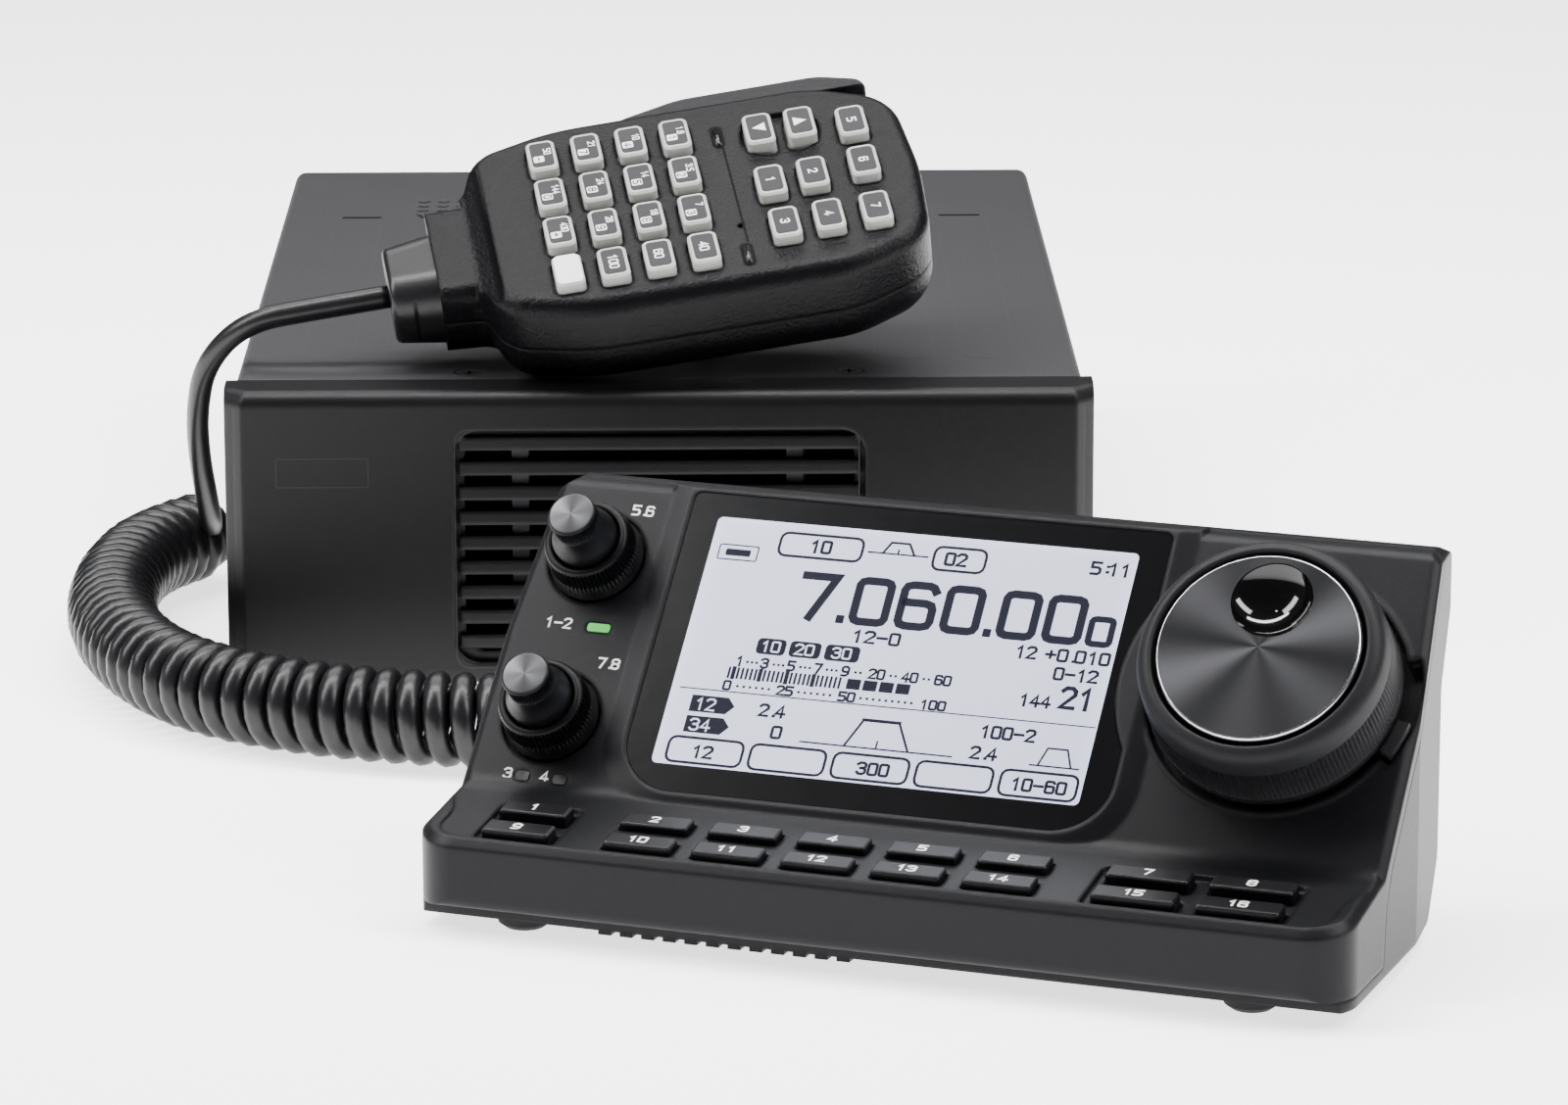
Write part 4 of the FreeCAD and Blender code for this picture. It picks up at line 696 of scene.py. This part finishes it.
def lcd_numbers(ink, low, high):
    """The made-up frequency and the small numbers."""
    for digit, x in (("7", 18.9), ("0", 29.0), ("6", 37.2), ("0", 45.5), ("0", 55.7), ("0", 63.9)):
        write(ink, digit, x, 30.6, 8.0, 1.55, low, high, 1.25)
    for x in (26.1, 52.8):
        ink.plate(rounded((x + 0.75, 30.7), 1.5, 1.6, 0.1, 1), low, high)
    write(ink, "0", 71.6, 30.5, 4.8, 1.2, low, high, 1.38)
    write(ink, "5:11", 69.2, 43.9, 2.2, 0.52, low, high, 1.2)
    write(ink, "12-0", 30.0, 26.7, 2.1, 0.52, low, high, 1.35)
    write(ink, "12", 59.6, 26.7, 2.1, 0.52, low, high, 1.2)
    write(ink, "+0.010", 65.0, 26.7, 2.1, 0.52, low, high, 1.28)
    write(ink, "0-12", 67.3, 23.2, 2.1, 0.52, low, high, 1.2)
    write(ink, "144", 62.4, 17.7, 2.0, 0.52, low, high, 1.2)
    write(ink, "21", 69.6, 18.0, 3.7, 0.8, low, high, 1.05)
    write(ink, "2.4", 17.0, 10.9, 2.1, 0.52, low, high, 1.2)
    write(ink, "0", 20.2, 6.9, 2.1, 0.52, low, high, 1.3)
    write(ink, "100-2", 57.0, 11.0, 2.1, 0.52, low, high, 1.2)
    write(ink, "2.4", 56.2, 6.9, 2.1, 0.52, low, high, 1.2)
    for text, x in (("12", 7.0), ("300", 37.0), ("10-60", 64.6)):
        write(ink, text, x, 1.8, 2.1, 0.52, low, high, 1.2)
    write(ink, "10", 18.2, 43.2, 2.2, 0.55, low, high, 1.2)
    write(ink, "02", 43.0, 43.1, 2.2, 0.55, low, high, 1.2)


def lcd_reversed(mark, low, high):
    """Numbers that stand light in the filled fields."""
    for text, x in (("10", 14.2), ("20", 20.4), ("30", 27.2)):
        write(mark, text, x, 23.2, 1.9, 0.34, low, high, 1.25)
    write(mark, "12", 5.2, 10.9, 2.1, 0.34, low, high, 1.2)
    write(mark, "34", 5.2, 6.9, 2.1, 0.34, low, high, 1.2)


# heights of the display's layers over the glass
GLASS = 0.77
LCD_BACK = (0.0, 0.02)
LCD_INK = (0.02, 0.035)
LCD_LIGHT = (0.036, 0.045)


def add_display(finishes):
    place = FACE @ moved(LCD_LEFT, LCD_LOW, GLASS)
    back = Shape()
    back.plate(rounded((LCD_WIDE / 2, LCD_TALL / 2), LCD_WIDE, LCD_TALL, 1.0), *LCD_BACK)
    back.add("lcd_backlight", finishes["lcd_white"], place)
    ink = Shape()
    for part in (lcd_meter, lcd_boxes, lcd_curves, lcd_numbers):
        part(ink, *LCD_INK)
    ink.add("lcd_segments", finishes["segment_blue"], place)
    light = Shape()
    lcd_reversed(light, *LCD_LIGHT)
    light.add("lcd_reversed_numbers", finishes["lcd_white"], place)


# ---------------------------------------------------------------- knobs and dial

TOOTH_STEPS = 6
DIAL_TEETH = 160
RING_TEETH = 64
CAP_TEETH = 54
KNOB_X = -69.4
# name, height on the face, body, replaced node
RINGS = (("rf_ring_toothed", 37.4, "rf_ring", "rf_squelch_ring"),
         ("bank_ring_toothed", 5.9, "bank", "bank_ring"))
CAPS = (("af_knob_knurled", 37.4, "af_knob", "af_gain_knob"),
        ("channel_knob_knurled", 5.9, "channel", "channel_knob"))
# radius and height
RING_PROFILE = [(2.5, -6.0), (3.5, -6.0), (3.5, -0.8), (8.45, -0.75), (8.5, -0.2), (8.48, 0.5), (8.05, 0.9),
                (8.0, 2.6), (8.05, 2.7), (8.06, 3.4), (7.7, 6.4), (7.6, 6.55), (7.35, 7.0), (6.9, 7.28),
                (6.35, 7.25), (6.15, 7.0), (6.1, 3.0), (2.5, 3.0), (2.5, -6.0)]
CAP_PROFILE = [(0.02, -7.0), (2.2, -7.0), (2.2, 3.4), (5.8, 3.4), (5.8, 8.1), (5.5, 8.9), (5.0, 9.7), (4.6, 10.9),
               (4.35, 11.9), (4.3, 12.3), (4.3, 12.4), (4.3, 15.3), (4.29, 15.45), (4.22, 15.62), (4.1, 15.74),
               (3.95, 15.78), (0.02, 15.78)]


def knurl(teeth, depth, low, high):
    """Tooth pattern for a lathe between two heights."""
    def wave(angle, height):
        if not low <= height <= high:
            return 0.0
        return depth * (0.5 + 0.5 * math.cos(angle * teeth)) - depth
    return wave


def add_dial(finishes):
    """Ribbed grip of the dial with its groove, and the bright rim of the face."""
    profile = [(0.02, -8.0), (3.0, -8.0), (3.0, 0.6), (21.3, 0.55), (21.7, 0.9), (21.7, 2.4), (21.62, 2.6),
               (21.6, 2.7), (21.4, 10.4), (21.35, 10.5), (21.3, 10.8), (21.1, 13.4), (20.7, 14.4), (19.9, 15.2),
               (18.9, 15.65), (18.4, 15.6), (18.2, 15.2), (18.15, 14.0), (17.9, 13.9), (17.9, 8.6), (0.02, 8.6)]
    ring = lathe(profile, DIAL_TEETH * TOOTH_STEPS, knurl(DIAL_TEETH, 0.42, 2.65, 10.45))
    piece = ring.add("dial_ring_ribbed", finishes["dial_rubber"], DIAL, "dial", True)
    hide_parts("dial_grip")
    rim = lathe([(17.0, 16.02), (17.1, 16.03), (17.46, 15.55), (17.52, 15.0)], 192)
    rim.add("dial_face_rim", finishes["edge_metal"], DIAL, "dial", True)


def add_knobs(finishes):
    """The outer rings, and the inner knobs with their spun discs, whose base colour carries painted highlight
    sectors.
    """
    for name, s, body, node in RINGS:
        place = FACE @ moved(KNOB_X, s, 0)
        ring = lathe(RING_PROFILE, RING_TEETH * TOOTH_STEPS, knurl(RING_TEETH, 0.5, 2.65, 6.45))
        piece = ring.add(name, finishes["knob_black"], place, body, True)
        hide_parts(node)
    for name, s, body, node in CAPS:
        place = FACE @ moved(KNOB_X, s, 0)
        cap = lathe(CAP_PROFILE, CAP_TEETH * TOOTH_STEPS, knurl(CAP_TEETH, 0.28, 12.35, 15.35))
        piece = cap.add(name, finishes["knob_black"], place, body, True)
        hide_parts(node)
        disc = lathe([(3.97, 15.77), (3.95, 15.82), (3.7, 15.85), (0.02, 15.81)], 64)
        # painted highlight: sectors of lighter base colour on each cap's disc
        metal = spun("spun_" + body, (0.045, 0.045, 0.047), place, 0.38, CAP_PAINTED_SHEEN, 0.5)
        disc.add("cap_disc_" + body, metal, place, body, True)


def add_lamp_covers(finishes):
    """The two lower windows of the light pipes are dark."""
    for name, x in (("left", -71.6), ("right", -64.6)):
        cover = Shape()
        cover.plate(rounded((x, -6.0), 2.5, 1.8, 0.5, 4), 0.06, 0.16)
        cover.add("lamp_cover_" + name, finishes["lamp_dark"], FACE)


# ---------------------------------------------------------------- microphone details

MIC_KEY_X = (-28.4, -19.6, -10.8, -2.0)
MIC_KEY_Y = (17.0, 5.0, -7.0, -19.0)
KEYPAD = ((("50", "-"), ("21", "7"), ("10", "4"), ("1.8", "1")),
          (("144", "0"), ("24", "8"), ("14", "5"), ("3.5", "2")),
          (("430", "+"), ("28", "9"), ("18", "6"), ("7", "3")),
          (("", ""), ("100", ""), ("60", ""), ("40", "")))
FUNCTION_KEYS = ((13.8, -2.0), (22.2, -1.6), (14.4, -15.4), (23.0, -15.2),
                 (32.3, 12.2), (32.4, -0.6), (32.2, -15.2))
# lower and upper height of the layers on a key
INLAY = (-0.03, 0.03)
PRINT = (0.03, 0.045)
ARROW = (0.03, 0.05)
BOXED = (0.05, 0.06)
WHITE_KEY = (0, 3)
DOME_LAYERS = 5


def upright(x, y):
    """Turns drawing so that its top points to the head of the microphone."""
    return lambda px, py: (x + py, y - px)


def print_key(light, dark, x, y, small, large):
    """Small number at the upper left of a key and a boxed digit at the lower right."""
    if small and large:
        wide = 0.72 * len(small.replace(".", ""))
        write(light, small, -wide / 2 - 0.9, 0.5, 1.25, 0.24, *PRINT, 0.95, upright(x, y))
        light.plate(rounded((x - 0.75, y - 1.3), 2.1, 1.9, 0.3, 2), *PRINT)
        write(dark, large, -0.42, -0.7, 1.4, 0.28, *BOXED, 1.05, upright(x - 0.75, y - 1.3))
    else:
        write(light, small, -0.62 * len(small), -0.8, 1.6, 0.32, *PRINT, 1.1, upright(x, y))


def add_mic_row(finishes, j):
    """Inlays and numbers of one row of number keys; the white key has none."""
    y, body = MIC_KEY_Y[j], "press_mic_number_row_%d" % (j + 1)
    inlay, light, dark = Shape(), Shape(), Shape()
    for i, x in enumerate(MIC_KEY_X):
        if (i, j) != WHITE_KEY:
            inlay.plate(rounded((x, y), 4.3, 7.4, 0.8, 3), *INLAY)
            print_key(light, dark, x, y, *KEYPAD[j][i])
    inlay.add("mic_inlays_%d" % (j + 1), finishes["key_inlay"], MIC, body)
    light.add("mic_numbers_%d" % (j + 1), finishes["print_white"], MIC, body)
    if dark.points:
        dark.add("mic_boxed_numbers_%d" % (j + 1), finishes["key_inlay"], MIC, body)


def add_mic_functions(finishes):
    """Inlays and numbers of the function keys, and the arrows of the up and down keys."""
    inlay, mark = Shape(), Shape()
    for number, (x, y) in enumerate(FUNCTION_KEYS, start=1):
        inlay.plate(rounded((x, y), 4.3, 7.4, 0.8, 3), *INLAY)
        write(mark, str(number), -0.45, -0.8, 1.6, 0.32, *PRINT, 1.1, upright(x, y))
    inlay.add("mic_inlays_functions", finishes["key_inlay"], MIC, "mic_functions")
    mark.add("mic_marks_functions", finishes["print_white"], MIC, "mic_functions")
    for name, x, tip, body in (("up", 22.4, 1.3, "mic_up"), ("down", 14.2, -1.3, "mic_down")):
        inlay, mark = Shape(), Shape()
        inlay.plate(rounded((x, 14.4), 4.3, 7.6, 0.8, 3), *INLAY)
        arrow = [(x - tip, 13.1), (x + tip, 14.4), (x - tip, 15.7)]
        mark.plate(arrow if tip > 0 else arrow[::-1], *ARROW)
        inlay.add("mic_inlay_" + name, finishes["key_inlay"], MIC, body)
        mark.add("mic_arrow_" + name, finishes["print_white"], MIC, body)


def dome(shape, x, y, wide, long, low, high):
    """Long lens with a rounded top, in layers."""
    for k in range(DOME_LAYERS):
        share = math.cos(math.asin(k / DOME_LAYERS))
        shape.plate(rounded((x, y), wide * share, long - wide * (1 - share), wide * share / 2, 5),
                    low + (high - low) * k / DOME_LAYERS, low + (high - low) * (k + 1) / DOME_LAYERS)


def add_mic_front(finishes):
    """White key, groove down the face as a flat dull strip that reads dark, the painted shade of the groove with no
    cut, and the two indicator lenses at its ends.
    """
    white = Shape()
    white.plate(rounded((MIC_KEY_X[0], MIC_KEY_Y[3]), 5.0, 8.5, 1.2, 4), *INLAY)
    white.add("mic_white_key", finishes["key_white"], MIC, "press_mic_number_row_4")
    floor = -2.2
    # painted shade: a flat dull strip and end wells stand in for the shade in the groove
    groove = Shape()
    groove.line([(6.7, 12.4), (6.7, -17.0)], 0.45, floor, floor + 0.02)
    for y in (16.2, -21.0):
        groove.plate(rounded((6.1, y), 2.6, 7.0, 1.2, 5), floor, floor + 0.02)
    groove.add("mic_groove", finishes["mic_groove"], MIC, "mic")
    for name, y in (("upper", 15.8), ("lower", -21.2)):
        lens = Shape()
        dome(lens, 6.1, y, 1.5, 5.6, floor + 0.02, floor + 0.55)
        lens.add("mic_lens_" + name, finishes["lamp_dark"], MIC, "mic", True)


def add_mic_print(finishes):
    for j in range(4):
        add_mic_row(finishes, j)
    add_mic_functions(finishes)
    add_mic_front(finishes)


# ---------------------------------------------------------------- printed marks

def add_controller_print(finishes):
    """The keys and lamps carry plain numbers."""
    middle = [(x, "key_middle_%%s_%d" % (i + 1)) for i, x in enumerate((-42.1, -26.1, -10.1, 5.9, 21.9))]
    columns = [(-64.2, "key_left_%s")] + middle + [(45.3, "key_right_%s_1"), (63.2, "key_right_%s_2")]
    number = 0
    for row, t in (("rear", 11.0), ("front", 3.0)):
        for x, pattern in columns:
            number += 1
            mark = Shape()
            text = str(number)
            write(mark, text, x - 0.62 * len(text) * 1.6, t - 0.1, 1.8, 0.4, 1.385, 1.42, 1.3)
            mark.add(pattern % row + "_mark", finishes["print_white"], SHELF, "press_" + pattern % row)
    labels = Shape()
    for text, x, y in (("1-2", -75.4, 23.2), ("3", -75.0, -6.6), ("4", -68.2, -6.6), ("5.6", -65.2, 46.6),
                       ("7.8", -63.6, 16.2)):
        write(labels, text, x, y, 1.8, 0.36, 0.0, 0.03, 1.2)
    labels.add("controller_labels", finishes["print_white"], FACE)


# ---------------------------------------------------------------- main unit details

COVER_HEIGHT = 58.0


def add_panel_details(finishes):
    """Fine frame round the grille, posts behind the slats in a grey lighter than the panel's black, a painted
    highlight, a near-black sheet behind the slats, the painted shade inside the grille, and a plain badge field.
    """
    frame_shape = Shape()
    frame_line(frame_shape, -39.4, 3.4, 77.8, 47.4, 0.22, 0.0, 0.03, 2.5, 4)
    frame_line(frame_shape, -73.6, 39.4, 17.8, 5.8, 0.18, 0.0, 0.03, 0.3, 2)
    frame_shape.add("panel_frames", finishes["line_grey"], PANEL)
    # painted highlight: posts lighter than the panel's black
    post = Shape()
    for x in (-26.8, 26.0):
        post.plate([(x - 1.6, 5.0), (x + 1.6, 5.0), (x + 1.6, 49.8), (x - 1.6, 49.8)], -4.2, -3.4)
    post.add("grille_posts", finishes["post_grey"], PANEL)
    # painted shade: a near-black sheet behind the slats stands in for the shade inside the grille
    back = Shape()
    back.plate([(-39.0, 5.0), (39.0, 5.0), (39.0, 49.8), (-39.0, 49.8)], -4.8, -4.6)
    back.add("grille_shade_sheet", finishes["dark_hole"], PANEL)


def add_cover_details(finishes):
    """Embossed outlines on the top cover drawn as flat lines a little lighter than the paint, a painted highlight
    along the embossed edges, and short slots drawn as near-black plates, the painted shade inside them.
    """
    top = moved(0, 0, COVER_HEIGHT)
    # painted highlight: flat lines a little lighter than the paint where the embossed edges catch the light
    lines = Shape()
    for left, right in ((-70.0, -60.2), (-53.8, -43.2), (31.2, 36.8), (42.4, 53.8), (59.4, 70.0)):
        outline = [(left, 58.0), (left, -80.5), (left + 2.0, -83.5),
                   (right - 2.0, -83.5), (right, -80.5), (right, 58.0)]
        lines.line(outline, 0.3, 0.0, 0.02)
    lines.add("cover_emboss_highlights", finishes["cover_line"], top)
    # painted shade: near-black plates stand in for the shade inside the slots
    slot_shade = Shape()
    for left, right in ((-69.0, -60.4), (-52.2, -44.0), (44.0, 53.0), (60.0, 69.0)):
        slot_shade.plate(rounded(((left + right) / 2, 60.2), right - left, 1.5, 0.6, 3), 0.0, 0.03)
    slot_shade.add("cover_slot_shade", finishes["dark_hole"], top)


def dress_nodes(finishes):
    """Gives every CAD node its finish."""
    for entry in frame["record"]["subparts"]:
        node = frame["nodes"][entry["node"]]
        material = finishes[entry["material_slot"]]
        for place in node.material_slots:
            place.material = material


def main():
    finishes = material_set()
    add_camera()
    add_stage()
    dress_nodes(finishes)
    add_cord(finishes)
    add_display(finishes)
    add_dial(finishes)
    add_knobs(finishes)
    add_lamp_covers(finishes)
    add_mic_print(finishes)
    add_controller_print(finishes)
    add_panel_details(finishes)
    add_cover_details(finishes)


main()
